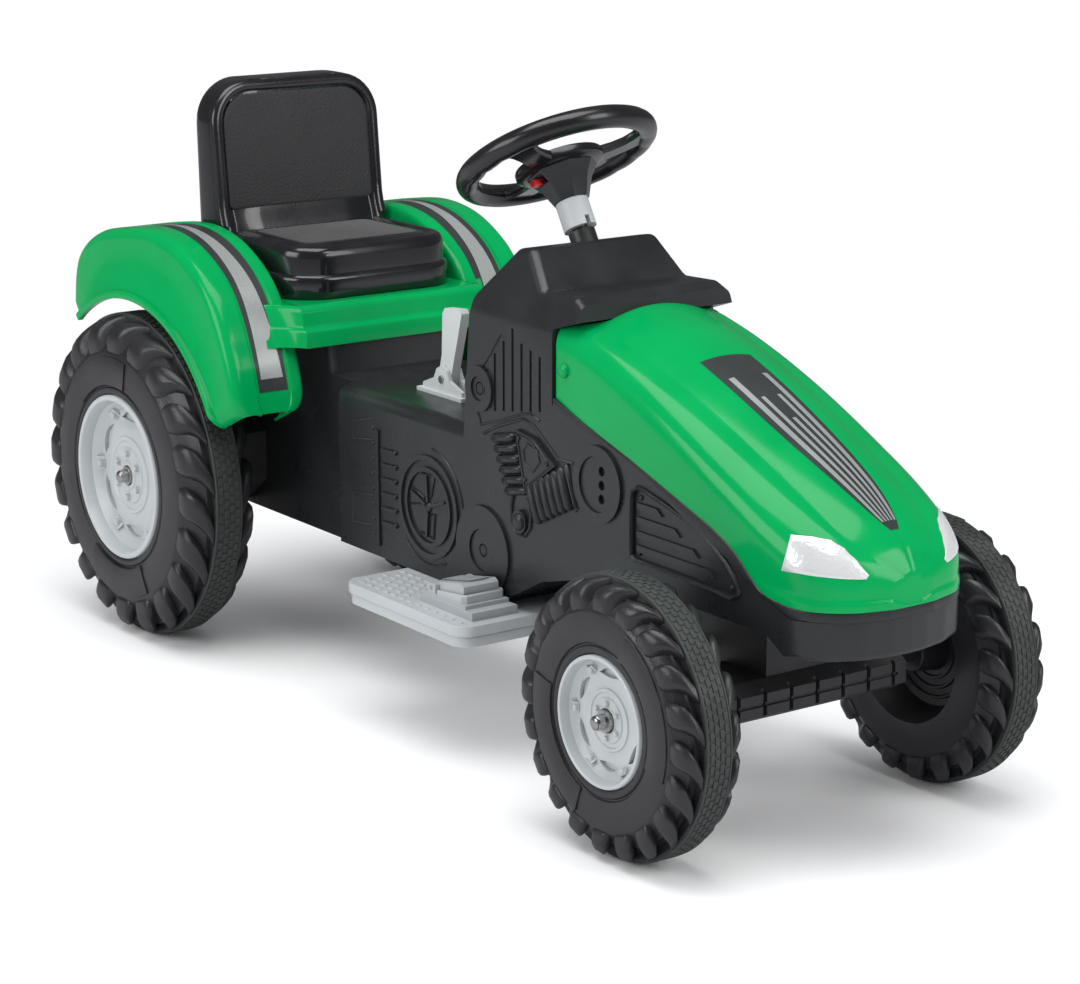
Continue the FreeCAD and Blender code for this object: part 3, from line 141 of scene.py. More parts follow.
def grain_group():
    """Shader group: fine mould grain as a height, and slow patches of more and less gloss."""
    group, sizes, out = shader_group("mould_grain", ("Grain scale", "Patch scale"), ("Height", "Patches"))
    new = group.nodes.new
    place, mix = new("ShaderNodeTexCoord"), new("ShaderNodeMath")
    fine, pebble, patch = new("ShaderNodeTexNoise"), new("ShaderNodeTexVoronoi"), new("ShaderNodeTexNoise")
    set_inputs(fine, {"Detail": 3})
    set_inputs(patch, {"Detail": 4})
    mix.operation = "MULTIPLY_ADD"
    mix.inputs[1].default_value = 0.6
    for texture, size in ((fine, "Grain scale"), (pebble, "Grain scale"), (patch, "Patch scale")):
        wire(group, (place, "Object", texture, "Vector"), (sizes, size, texture, "Scale"))
    wire(group, (pebble, "Distance", mix, 0), (fine, "Fac", mix, 2), (mix, 0, out, "Height"),
         (patch, "Fac", out, "Patches"))
    return group


def dust_group():
    """Shader group: a mask of thin dust that lies in patches on faces that look up."""
    group, amount, out = shader_group("settled_dust", ("Amount",), ("Mask",))
    new = group.nodes.new
    place, facing = new("ShaderNodeTexCoord"), new("ShaderNodeNewGeometry")
    split, cloud = new("ShaderNodeSeparateXYZ"), new("ShaderNodeTexNoise")
    upward, patchy = new("ShaderNodeMapRange"), new("ShaderNodeMapRange")
    both, scaled = new("ShaderNodeMath"), new("ShaderNodeMath")
    both.operation = scaled.operation = "MULTIPLY"
    set_inputs(cloud, {"Scale": 26, "Detail": 6})
    set_inputs(upward, {"From Min": -0.3})
    set_inputs(patchy, {"From Min": 0.38, "From Max": 0.75})
    wire(group, (place, "Object", cloud, "Vector"), (facing, "Normal", split, "Vector"),
         (split, "Z", upward, "Value"), (cloud, "Fac", patchy, "Value"), (upward, "Result", both, 0),
         (patchy, "Result", both, 1), (both, 0, scaled, 0), (amount, "Amount", scaled, 1),
         (scaled, 0, out, "Mask"))
    return group


MOULD_GRAIN = grain_group()
SETTLED_DUST = dust_group()
DUST_COLOUR = (0.32, 0.31, 0.29, 1)


def moulded(name, colour, gloss, grain, depth, dust=0.06, coat=0.0, metal=0.0, patches=14, swing=0.14):
    """Material of a moulded or plated part: grain, patches of gloss, a little dust."""
    material = bpy.data.materials.new(name)
    material.use_nodes = True
    tree = material.node_tree
    new = tree.nodes.new
    shader = tree.nodes["Principled BSDF"]
    surface, dirt = new("ShaderNodeGroup"), new("ShaderNodeGroup")
    surface.node_tree, dirt.node_tree = MOULD_GRAIN, SETTLED_DUST
    shade, tint = new("ShaderNodeMix"), new("ShaderNodeMix")
    shade.data_type = tint.data_type = "RGBA"
    rough, bump = new("ShaderNodeMapRange"), new("ShaderNodeBump")
    darker = tuple(c * 0.86 for c in colour) + (1,)
    lighter = tuple(min(c * 1.12, 1) for c in colour) + (1,)
    set_inputs(shader, {"Metallic": metal, "Coat Weight": coat, "Coat Roughness": 0.04})
    set_inputs(surface, {"Grain scale": grain, "Patch scale": patches})
    set_inputs(dirt, {"Amount": dust})
    set_inputs(shade, {"A": darker, "B": lighter})
    set_inputs(tint, {"B": DUST_COLOUR})
    set_inputs(rough, {"From Min": 0.3, "From Max": 0.7, "To Min": max(gloss - swing / 2, 0.02),
                       "To Max": gloss + swing / 2})
    set_inputs(bump, {"Distance": depth, "Strength": 0.6})
    wire(tree, (surface, "Patches", shade, "Factor"), (shade, "Result", tint, "A"),
         (dirt, "Mask", tint, "Factor"), (tint, "Result", shader, "Base Color"),
         (surface, "Patches", rough, "Value"), (rough, "Result", shader, "Roughness"),
         (surface, "Height", bump, "Height"), (bump, "Normal", shader, "Normal"))
    return material


CHARCOAL = moulded("body_charcoal", (0.016, 0.017, 0.019), 0.3, 900, 0.00014, dust=0.03)
for half in ("right", "left"):
    soft_copy(f"body_{half}", f"body_shell_{half}", "chassis", "body_black", CHARCOAL, 0.0008, bend=50)


# Reliefs of the outer walls, moulded with the body: a finned engine under its cover plate, the blades of a
# fan, louvres, frame lines, and the small round heads that stand along them. The rounded edges of the floor
# and of the seat pedestal are closed along their middle here.
def repeat_tree(name, *own_inputs):
    """Geometry Nodes tree that sets a piece on points, with its sockets' ids and its end nodes."""
    tree = bpy.data.node_groups.new(name, "GeometryNodeTree")
    tree.interface.new_socket("Geometry", in_out="OUTPUT", socket_type="NodeSocketGeometry")
    ids = {}
    for label, kind in (("Piece", "Object"), ("Count", "Int"), *own_inputs, ("Material", "Material")):
        socket = tree.interface.new_socket(label, in_out="INPUT", socket_type=f"NodeSocket{kind}")
        ids[label] = socket.identifier
    new = tree.nodes.new
    sizes, out, source = new("NodeGroupInput"), new("NodeGroupOutput"), new("GeometryNodeObjectInfo")
    spread, whole, paint = (new("GeometryNodeInstanceOnPoints"), new("GeometryNodeRealizeInstances"),
                            new("GeometryNodeSetMaterial"))
    wire(tree, (sizes, "Piece", source, "Object"), (source, "Geometry", spread, "Instance"),
         (spread, "Instances", whole, "Geometry"), (whole, "Geometry", paint, "Geometry"),
         (sizes, "Material", paint, "Material"), (paint, "Geometry", out, "Geometry"))
    return tree, ids, sizes, spread


def row_tree():
    """Geometry Nodes tree: a piece repeated along a straight line."""
    tree, ids, sizes, spread = repeat_tree("row_of_pieces", ("Start", "Vector"), ("Step", "Vector"))
    line = tree.nodes.new("GeometryNodeMeshLine")
    wire(tree, (sizes, "Count", line, "Count"), (sizes, "Start", line, "Start Location"),
         (sizes, "Step", line, "Offset"), (line, "Mesh", spread, "Points"))
    return tree, ids


ROW_TREE, ROW_IDS = row_tree()


def grown(tree, ids, source_mesh, values):
    """Run a repeating tree over one source mesh and return the plain mesh that it makes."""
    source = new_piece("repeat_source", source_mesh)
    holder = new_piece("repeat", bpy.data.meshes.new("repeat"))
    repeat = holder.modifiers.new("repeat", "NODES")
    repeat.node_group = tree
    repeat[ids["Piece"]] = source
    for label, value in values.items():
        repeat[ids[label]] = value
    plain_mesh(holder)
    mesh = holder.data
    bpy.data.objects.remove(holder)
    bpy.data.objects.remove(source)
    return mesh


def row_of(mesh, count, start, step, material):
    values = {"Count": count, "Start": start, "Step": step, "Material": material}
    return grown(ROW_TREE, ROW_IDS, mesh, values)


def woven(bm, rows, ring=True):
    """Faces between neighbouring rows of vertices. In a ring, the end of a row meets its start."""
    for low, high in zip(rows, rows[1:]):
        for i in range(len(low) if ring else len(low) - 1):
            j = (i + 1) % len(low)
            bm.faces.new((low[i], low[j], high[j], high[i]))


def dome_mesh(radius, height, turn, sides=12):
    """Domed rivet head that stands on the XY plane, turned into place by a matrix."""
    bm = bmesh.new()
    turns = [2 * math.pi * i / sides for i in range(sides)]
    rings = []
    for share, rise in ((1.0, -0.3), (1.0, 0.35), (0.8, 0.75), (0.4, 0.97)):
        reach = radius * share
        rings.append([bm.verts.new((reach * math.cos(a), reach * math.sin(a), height * rise)) for a in turns])
    woven(bm, rings)
    bm.faces.new(rings[-1])
    bm.transform(turn)
    return finished(bm, 50, turn.to_3x3() @ UPWARD)


def joined(meshes):
    """One mesh out of several."""
    bm = bmesh.new()
    for mesh in meshes:
        bm.from_mesh(mesh)
    whole = bpy.data.meshes.new("joined")
    bm.to_mesh(whole)
    bm.free()
    return whole


def bridged(bm, loops, caps=True):
    """Skin over a row of closed loops with the same number of points."""
    rows = [[bm.verts.new(point) for point in loop] for loop in loops]
    woven(bm, rows)
    if caps:
        bm.faces.new(rows[0][::-1])
        bm.faces.new(rows[-1])


def skin_over(loops, degrees):
    bm = bmesh.new()
    bridged(bm, loops)
    return finished(bm, degrees)


def ridge_mesh(points, wide, high, rise=0.0, closed=False):
    """Half-round ridge along a line of (x, z) points in mm, for the right-hand wall."""
    line = [Vector((x, 0, z)) / 1000 for x, z in points]
    shares = [1.0] * len(line)
    if not closed:
        for end, inner in ((0, 1), (-1, -2)):
            way = (line[inner] - line[end]).normalized()
            line.insert(1 if end == 0 else -1, line[end] + way * wide * 0.7)
        shares = [0.5] + [1.0] * (len(line) - 2) + [0.5]
    half_round = ((-1, -0.3), (-0.92, 0.35), (-0.55, 0.84), (0, 1), (0.55, 0.84), (0.92, 0.35), (1, -0.3))
    loops = []
    for i, (point, share) in enumerate(zip(line, shares)):
        before = line[i - 1] if closed or i else point
        after = line[(i + 1) % len(line)] if closed or i < len(line) - 1 else point
        way = (after - before).normalized()
        aside = Vector((way.z, 0, -way.x)) * wide * share
        ground = -WALL_Y - rise
        loops.append([Vector((point.x + aside.x * u, ground - h * high * share, point.z + aside.z * u))
                      for u, h in half_round])
    bm = bmesh.new()
    bridged(bm, loops + loops[:1] if closed else loops, caps=not closed)
    bmesh.ops.remove_doubles(bm, verts=bm.verts, dist=1e-6)
    return finished(bm, 50)


def bar_ends(x, z, half, degrees):
    """Both ends of a straight bar centred on (x, z)."""
    c, s = math.cos(math.radians(degrees)), math.sin(math.radians(degrees))
    return [(x - half * c, z - half * s), (x + half * c, z + half * s)]


def fan_arc(radius, start, end):
    return [(radius * math.cos(math.radians(a)), FAN_Z + radius * math.sin(math.radians(a)))
            for a in range(start, end + 1, 5)]


def corner_strip(start, end, ahead, aside):
    """Middle of a rounded wall corner, along its axis, between two directions square to it."""
    loops = []
    for centre in (start, end):
        loop = []
        for reach, turns in ((CORNER_OUTSIDE, range(30, 61, 3)), (CORNER_INSIDE, range(60, 29, -3))):
            for turn in turns:
                out = ahead * math.cos(math.radians(turn)) + aside * math.sin(math.radians(turn))
                loop.append(centre + out * reach)
        loops.append(loop)
    return skin_over(loops, 30)


def mirrored(mesh):
    """Turn a mesh into its like on the other side of the centre plane."""
    mesh.transform(Matrix.Scale(-1, 4, (0, 1, 0)))
    mesh.flip_normals()
    return mesh


WALL_Y = 0.095
FAN_Z = 211
CORNER_OUTSIDE, CORNER_INSIDE = 0.01403, 0.0122
TO_RIGHT, UPWARD = Vector((0, -1, 0)), Vector((0, 0, 1))
FLOOR_EDGE = (Vector((-0.1655, -0.081, 0.291)), Vector((0.0632, -0.081, 0.291)))
PEDESTAL_FACE, PEDESTAL_EDGE = Vector((0.9855, 0, 0.1695)), Vector((-0.1695, 0, 0.9855))
PEDESTAL_AXIS = Vector((-0.2193, -0.062, 0.3058))
RIDGES = [
    # line, half width, height, height of the ground under it, closed
    ([(96, 303), (115, 313), (160, 329), (175, 327), (216, 301), (240, 302), (239, 291), (250, 265),
      (243, 257)],
     0.0016, 0.0018, 0.0, False),
    ([(155.5, 315), (183, 311.6), (211, 294.8), (168, 265.6)], 0.0014, 0.0014, 0.004, True),
    ([(166, 301), (173, 308), (188, 305), (193, 294.5), (182, 283), (169, 289)], 0.0012, 0.0012, 0.004, True),
    (bar_ends(239, 280.5, 21, -66), 0.0024, 0.005, 0.0, False),
    ([(147, 260), (142, 242), (143, 226), (151, 217), (164, 217), (172, 226), (175, 240), (169, 256)],
     0.0018, 0.0028, 0.0, False),
    ([(-12, 243), (11, 244), (4, 221)], 0.0012, 0.0018, 0.0, False),
    ([(-31, 226), (-8, 219), (-9, 212), (-32, 208)], 0.0012, 0.0018, 0.0, False),
    ([(10, 216), (33, 223), (34, 207)], 0.0012, 0.0018, 0.0, False),
    ([(2, 203), (11, 206), (8, 180), (-15, 183)], 0.0012, 0.0018, 0.0, False),
    (fan_arc(60, 10, 85), 0.0014, 0.0016, 0.0, False),
    (fan_arc(59, 225, 300), 0.0014, 0.0016, 0.0, False),
    ([(-101, 260), (-138, 254), (-136, 274), (-101, 282)], 0.0012, 0.0012, 0.0, False),
    ([(-102, 171), (-141, 167), (-139, 199), (-102, 202)], 0.0012, 0.0012, 0.0, False),
    ([(124, 403), (93, 366)], 0.0012, 0.0014, 0.0, False),
    ([(86, 322), (91, 311), (125, 321), (157, 333), (171, 336), (187, 332)], 0.0013, 0.0015, 0.0, False),
    ([(337, 299.4), (331.3, 295), (329.3, 287), (329, 261), (329.3, 235.5), (334.5, 231.9), (365, 231.7),
      (398.8, 231.2), (431.8, 230.1), (464, 228.5), (472, 228.6), (478.3, 231.9), (481.6, 236.3),
      (480.6, 241.4), (474.7, 248.8), (463.3, 258.7), (447.1, 268.9), (430.8, 276.4), (407.8, 284.2),
      (381.1, 291), (357.5, 295.9), (343.9, 299.1)], 0.0019, 0.0036, 0.0, True),
]
FIN_HALF, FIN_HEIGHT, FINS_IN_ROW = 0.005, 0.0068, 6
FIN_ROWS = [
    # first fin, step to the next, half length, turn
    ((131, 306), (4.4, -9.4), 18.5, 12),
    ((181, 253), (9.6, 4.6), 20.5, -66),
]
HEAD_ROWS = [
    # count, first (x, z), step (x, z), height of the ground, radius, height
    (8, (-101, 163), (0, 15.6), 0.0, 0.0022, 0.0018),
    (6, (-59.5, 178.6), (0, 15), 0.0, 0.0028, 0.0034),
    (2, (158.5, 311), (45, -16.5), 0.004, 0.0025, 0.002),
    (2, (168.5, 272.5), (16, 35.5), 0.004, 0.0025, 0.002),
    (2, (338.5, 239), (1.5, 51), -0.0015, 0.0028, 0.002),
    (1, (471, 237), (0, 0), 0.0, 0.0028, 0.002),
    (1, (158, 230), (0, 0), 0.004, 0.0085, 0.004),
    (1, (0, FAN_Z), (0, 0), 0.0, 0.005, 0.0028),
]
TOWARDS_RIGHT = Matrix.Rotation(math.radians(90), 4, "X")
moulding = [ridge_mesh(*ridge) for ridge in RIDGES]
moulding.append(corner_strip(*FLOOR_EDGE, TO_RIGHT, UPWARD))
moulding.append(corner_strip(PEDESTAL_AXIS - PEDESTAL_EDGE * 0.002, PEDESTAL_AXIS + PEDESTAL_EDGE * 0.068,
                             PEDESTAL_FACE, TO_RIGHT))
for (x, z), (step_x, step_z), half, turn in FIN_ROWS:
    fin = ridge_mesh(bar_ends(0, 0, half, turn), FIN_HALF, FIN_HEIGHT)
    moulding.append(row_of(fin, FINS_IN_ROW, (x / 1000, 0, z / 1000),
                           (step_x / 1000, 0, step_z / 1000), CHARCOAL))
for count, (x, z), (step_x, step_z), rise, radius, height in HEAD_ROWS:
    head = dome_mesh(radius, height, TOWARDS_RIGHT)
    moulding.append(row_of(head, count, (x / 1000, -WALL_Y - rise, z / 1000),
                           (step_x / 1000, 0, step_z / 1000), CHARCOAL))
fit(new_piece("reliefs_right", joined(moulding)), "chassis", "body_black", CHARCOAL)
fit(new_piece("reliefs_left", mirrored(joined(moulding))), "chassis", "body_black", CHARCOAL)


# Front axle: a black ribbed beam with a fork at each end and a post braced by two webs, steel kingpins,
# knuckles with stub axles and the stamped tie plate. The knuckles turn on the pins, and the plate slides
# between them.
BEAM_BLACK = moulded("beam_black", (0.018, 0.018, 0.02), 0.48, 700, 0.0003, dust=0.1)
ZINC = moulded("zinc_plate", (0.46, 0.46, 0.45), 0.34, 420, 0.00006, dust=0.03, metal=1.0, patches=60,
               swing=0.2)
BLACK_STEEL = moulded("black_steel", (0.03, 0.03, 0.032), 0.36, 420, 0.00006, dust=0.04, metal=0.4,
                      patches=40)
soft_copy("axle_beam", "front_axle_beam", "chassis", "body_black", BEAM_BLACK, 0.0014)
for side in ("right", "left"):
    soft_copy(f"pin_{side}", f"kingpin_{side}", "chassis", "steel", ZINC, 0.0006)
    soft_copy(f"knuckle_steel_{side}", f"knuckle_{side}", f"knuckle_{side}", "steel", BLACK_STEEL, 0.0006)
    soft_copy(f"front_nut_{side}", f"front_axle_nut_{side}", f"knuckle_{side}", "steel", ZINC, 0.0008)
    soft_copy(f"rear_nut_{side}", f"rear_axle_nut_{side}", "chassis", "steel", ZINC, 0.0008)
soft_copy("tie_plate", "tie_rod", "tie_rod", "steel", BLACK_STEEL, 0.0005)
soft_copy("rear_axle_rod", "rear_axle", "chassis", "steel", ZINC, 0.001)
WEB_LINE = [(401.4, 139), (381, 139), (379.5, 159), (326, 159), (318, 206.6), (401.4, 206.6)]
WEB_CENTRE = Vector((0.37, 0, 0.18))
webs = bmesh.new()
for side in (-1, 1):
    loops = []
    for y, share in ((0.0445, 0.985), (0.045, 1.0), (0.0465, 1.0), (0.047, 0.985)):
        middle = WEB_CENTRE + Vector((0, side * y, 0))
        loops.append([middle + (Vector((x / 1000, 0, z / 1000)) - WEB_CENTRE) * share for x, z in WEB_LINE])
    bridged(webs, loops)
fit(new_piece("post_webs", finished(webs, 30)), "chassis", "body_black", BEAM_BLACK)


# Wheels. Each is a hollow charcoal plastic tyre with leaning lugs down both shoulders, a rubber band
# stretched round its tread, and a grey cap pressed into its outer recess with clips and bolt heads. A domed
# steel cap closes each end of the axles.
WHEELS = {
    # x, half track, tyre radius, half width, half band, cap radius
    "front": (0.431, 0.176, 0.127, 0.032, 0.0135, 0.059),
    "rear": (-0.42, 0.18, 0.175, 0.039, 0.0155, 0.089),
}
# first and last angle of each raised arc on the sidewall
SIDE_PADS = {"front": ((24, 108), (200, 284)), "rear": ((-46, 12), (152, 212))}
AXLE_BORE = 0.0061
HUB_RADIUS = 0.015
NUT_WELL = 0.0108
AXLE_TIP = 0.016
# depths below the outer face of a tyre, as shares of the cap's radius
TYRE_RECESS, HUB_FACE, CAP_BOWL, CAP_FACE = 0.42, 0.2, 0.27, 0.14
# circle of the cap's slots, as a share of its radius, and the depth of their walls
SLOT_CIRCLE, SLOT_WALL = 0.715, 0.0035
LUG_COUNT = 20
TYRE_BLACK = moulded("tyre_charcoal", (0.017, 0.017, 0.020), 0.33, 650, 0.0002, dust=0.05, patches=22)
BAND_RUBBER = moulded("band_rubber", (0.03, 0.035, 0.033), 0.55, 1100, 0.0002, dust=0.12, patches=40)
CAP_GREY = moulded("cap_grey", (0.43, 0.46, 0.47), 0.34, 500, 0.0001, dust=0.02, coat=0.15)


def ring_tree():
    """Geometry Nodes tree: a piece repeated about an axis along Y."""
    tree, ids, sizes, spread = repeat_tree("ring_of_pieces", ("Start angle", "Float"))
    new = tree.nodes.new
    points, index = new("GeometryNodePoints"), new("GeometryNodeInputIndex")
    pitch, turn, angle = new("ShaderNodeMath"), new("ShaderNodeMath"), new("ShaderNodeCombineXYZ")
    pitch.operation = "DIVIDE"
    pitch.inputs[0].default_value = 2 * math.pi
    turn.operation = "MULTIPLY_ADD"
    wire(tree, (sizes, "Count", points, "Count"), (sizes, "Count", pitch, 1), (index, "Index", turn, 0),
         (pitch, 0, turn, 1), (sizes, "Start angle", turn, 2), (turn, 0, angle, "Y"),
         (points, "Points", spread, "Points"), (angle, "Vector", spread, "Rotation"))
    return tree, ids


RING_TREE, RING_IDS = ring_tree()


def ring_of(mesh, count, start, material):
    values = {"Count": count, "Start angle": math.radians(start), "Material": material}
    return grown(RING_TREE, RING_IDS, mesh, values)


def around(radius, y, degrees):
    """Point of a wheel: angles run from the top towards the front."""
    turn = math.radians(degrees)
    return Vector((radius * math.sin(turn), y, radius * math.cos(turn)))


def turned(profile, steps, degrees=SMOOTH_ANGLE):
    """Closed mesh of revolution about Y from a loop of (radius, y) points."""
    bm = bmesh.new()
    rings = [[bm.verts.new(around(r, y, 360 * i / steps)) for i in range(steps)] for r, y in profile]
    woven(bm, rings + rings[:1])
    return finished(bm, degrees)


def carcass_profile(radius, half, band, cap):
    floor = half - cap * TYRE_RECESS
    dish = floor - 0.00525
    hub_end = half - cap * HUB_FACE
    groove = radius - 0.0118
    outer = [
        (cap + 0.0003, floor), (cap + 0.0003, half - 0.004), (cap + 0.0012, half - 0.0014),
        (cap + 0.004, half - 0.0002), (cap + 0.0072, half - 0.0006), (cap + 0.0086, half - 0.0024),
        (cap + 0.0098, half - 0.0024), (cap + 0.011, half - 0.0004),
        ((cap + radius * 0.76) / 2, half + 0.0003), (radius * 0.752, half - 0.0002),
        (radius * 0.775, half - 0.001), (radius * 0.79, half - 0.003), (radius * 0.82, half - 0.0056),
        (radius * 0.86, half - 0.0092), ((radius * 0.86 + groove) / 2, half - 0.0128), (groove, band + 0.005),
        (groove, band + 0.0002), (radius - 0.0052, band)]
    inner = [(r, -y) for r, y in outer[:9:-1]]
    inner += [(radius * 0.74, -half), (cap + 0.011, -half), (cap + 0.008, -half + 0.0005),
              (cap + 0.004, (dish - half) / 2), (cap * 0.955, dish - 0.001)]
    for share in (0.82, 0.66, 0.5):
        inner += [(cap * share + 0.002, dish), (cap * share + 0.001, dish - 0.002),
                  (cap * share - 0.001, dish - 0.002), (cap * share - 0.002, dish)]
    inner += [
        (HUB_RADIUS + 0.008, dish), (HUB_RADIUS + 0.004, -half + 0.006), (HUB_RADIUS + 0.003, -half + 0.005),
        (AXLE_BORE, -half + 0.005), (AXLE_BORE, hub_end - 0.004), (HUB_RADIUS, hub_end - 0.004),
        (HUB_RADIUS, floor)]
    return outer + inner


def lug_mesh(radius, half, band, way):
    """One lug: a square block on the sidewall that climbs the shoulder and sweeps round to the band."""
    wide = half - band
    path = [
        # y, top radius, depth of the root, centre angle, half width
        (half - 0.0005, radius * 0.774, 0.002, -0.6, 5.2),
        (half + 0.0007, radius * 0.786, 0.004, -0.5, 5.5),
        (half + 0.0009, radius * 0.840, 0.009, -0.2, 5.9),
        (half + 0.0001, radius * 0.885, 0.012, 0.3, 6.0),
        (band + wide * 0.88, radius * 0.921, 0.015, 1.1, 5.9),
        (band + wide * 0.70, radius * 0.950, 0.015, 2.6, 5.6),
        (band + wide * 0.48, radius * 0.967, 0.015, 4.9, 5.1),
        (band + wide * 0.24, radius - 0.0034, 0.014, 8.2, 4.6),
        (band + 0.0012, radius - 0.0026, 0.013, 11.6, 4.2),
        (band + 0.0003, radius - 0.006, 0.009, 12.2, 4.0)]
    rounded = ((1.0, -1.2), (0.34, -0.98), (0.09, -0.8), (0, -0.52), (0, 0.52), (0.09, 0.8), (0.34, 0.98),
               (1.0, 1.2))
    loops = []
    for y, top, deep, centre, span in path:
        loops.append([around(top - drop * deep, way * (y - drop * 0.006), centre + share * span)
                      for drop, share in rounded])
    return skin_over(loops, 42)


def side_pad(low, high, y, start, end, steps=28):
    """Raised arc on the sidewall, with square ends."""
    section = ((low, -0.002), (low + 0.0004, 0.0011), (low + 0.0012, 0.0015), (high - 0.0012, 0.0015),
               (high - 0.0004, 0.0011), (high, -0.002))
    angles = [start + (end - start) * i / steps for i in range(steps + 1)]
    return skin_over([[around(r, y + rise, angle) for r, rise in section] for angle in angles], 38)


def brick_mesh(radius, y, width, arc):
    """Tread brick of the band: a small block with a chamfered top."""
    corners = ((-1, -1), (1, -1), (1, 1), (-1, 1))
    loops = []
    for reach, share in ((radius - 0.002, 1.0), (radius - 0.0004, 1.0), (radius, 0.8)):
        loops.append([around(reach, y + across * width * share, ahead * arc * share)
                      for across, ahead in corners])
    return skin_over(loops, 20)


def cap_face(half, cap):
    """Bowl of the hub cap, turned in rows, with a well for the nut and six lens-shaped slots through it."""
    floor = half - cap * CAP_BOWL
    face = half - cap * CAP_FACE
    hub_end = half - cap * HUB_FACE
    steps, lens = 144, 19
    inner = [
        (0.0065, hub_end - 0.0035), (0.0065, hub_end - 0.0006), (0.0072, hub_end),
        (NUT_WELL - 0.0006, hub_end), (NUT_WELL, hub_end + 0.0006), (NUT_WELL, face - 0.0007),
        (NUT_WELL + 0.0006, face), (max(cap * 0.17, NUT_WELL + 0.001), face),
        (max(cap * 0.185, NUT_WELL + 0.0018), face - 0.0012), (cap * 0.335, face - 0.0012),
        (cap * 0.35, face - 0.0026), (cap * 0.41, face - 0.003), (cap * 0.425, face - 0.0018),
        (cap * 0.465, face - 0.0018), (cap * 0.48, face - 0.0034), (cap * 0.54, face - 0.0042),
        (cap * 0.6, face * 0.6 + floor * 0.4)]
    outer = [
        (cap * 0.8, floor + 0.0036), (cap * 0.83, floor + cap * 0.075),
        (cap * 0.9, half - cap * 0.13), (cap * 0.925, half - 0.001), (cap * 0.935, half + 0.0009),
        (cap * 0.95, half + 0.0015), (cap * 0.975, half + 0.0015), (cap * 0.992, half + 0.0008),
        (cap, half - 0.0006), (cap, half - 0.007), (cap * 0.8, floor + 0.0003), (cap * 0.7, floor + 0.0003),
        (cap * 0.53, face - 0.009), (HUB_RADIUS + 0.001, face - 0.006), (0.0065, hub_end - 0.0035)]
    bm = bmesh.new()

    def row(radii, height):
        return [bm.verts.new(around(radii(i), height, 360 * i / steps)) for i in range(steps)]

    def opening(i):
        off = (360 * i / steps + 30) % 60 - 30
        return max(0.0, 1 - (off / lens) ** 2) * cap * 0.066

    def slot_near(i):
        return cap * SLOT_CIRCLE - opening(i)

    def slot_far(i):
        return cap * SLOT_CIRCLE + opening(i)

    lip_y = floor + 0.0042
    rows = [row(lambda i, r=r: r, y) for r, y in inner]
    near, far = row(slot_near, lip_y), row(slot_far, lip_y)
    rest = [row(lambda i, r=r: r, y) for r, y in outer]
    woven(bm, rows + [near])
    woven(bm, [far] + rest)
    deep_near, deep_far = row(slot_near, lip_y - SLOT_WALL), row(slot_far, lip_y - SLOT_WALL)
    for low, high in ((near, deep_near), (deep_far, far)):
        for i in range(steps):
            j = (i + 1) % steps
            if opening(i) + opening(j) > 1e-7:
                bm.faces.new((low[i], low[j], high[j], high[i]))
    bmesh.ops.remove_doubles(bm, verts=bm.verts, dist=2e-5)
    return finished(bm, 34)


def bolt_mesh(reach, y, radius, height, sides=6):
    """Hexagon head standing on a wheel's face at the top of a circle."""
    turns = [2 * math.pi * i / sides for i in range(sides)]
    loops = []
    for share, rise in ((1.35, -0.4), (1.35, 0.12), (1.0, 0.14), (1.0, 0.8), (0.8, 1.0)):
        wide = radius * share
        loops.append([Vector((wide * math.cos(a), y + height * rise,
                              reach + wide * math.sin(a))) for a in turns])
    return skin_over(loops, 20)


def clip_mesh(half, cap):
    """Clip of the hub cap: a sloping block with two prongs towards the rim."""
    bm = bmesh.new()
    floor = half - cap * CAP_BOWL
    wide = cap * 0.085
    block, prong = (0.735, 0.83, 0.0035, wide), (0.79, 0.875, 0.0026, wide * 0.34)
    for x, (near, far, thick, span) in ((0, block), (-wide * 0.9, prong), (wide * 0.9, prong)):
        loops = []
        slope = ((near, -0.001), (near, thick * 0.7), (near + 0.012, thick),
                 (far - 0.012, thick + cap * 0.05),
                 (far, thick * 0.7 + cap * 0.06), (far, cap * 0.02))
        for share, lift in slope:
            top, foot = floor + 0.002 + lift, floor - 0.001
            loops.append([Vector((x + across * span, y, cap * share))
                          for across, y in ((-1, top), (1, top), (0.9, foot), (-0.9, foot))])
        bridged(bm, loops)
    return finished(bm, 25)


def placed(mesh, end, side):
    """Move a wheel mesh, made for the left-hand side, to its axle, mirrored for the right."""
    x, track, radius = WHEELS[end][:3]
    if side < 0:
        mirrored(mesh)
    mesh.transform(Matrix.Translation((x, side * track, radius)))
    return mesh


def tyre_mesh(end, radius, half, band, cap):
    parts = [turned(carcass_profile(radius, half, band, cap), 128)]
    for way, shift in ((1, 0), (-1, 9)):
        parts.append(ring_of(lug_mesh(radius, half, band, way), LUG_COUNT, shift, TYRE_BLACK))
    for start, stop in SIDE_PADS[end]:
        parts.append(side_pad(cap + 0.0105, radius * 0.752, half, start, stop))
    return joined(parts)


def band_mesh(radius, band, edge=0.0026, ranks=4):
    """Rubber band with a raised edge at each side and ranks of tread bricks between."""
    outer = [(radius - 0.0049, -band), (radius - 0.0012, -band), (radius - 0.0003, -band + 0.0006),
             (radius - 0.0003, -band + edge - 0.0006), (radius - 0.0011, -band + edge)]
    parts = [turned(outer + [(r, -y) for r, y in outer[::-1]], 128)]
    pitch, count = (band - edge) / 2, round(radius * 640)
    for rank in range(ranks):
        brick = brick_mesh(radius, -band + edge + pitch * (rank + 0.5), pitch * 0.42, 360 / count * 0.36)
        parts.append(ring_of(brick, count, 180 / count * (rank % 2), BAND_RUBBER))
    return joined(parts)


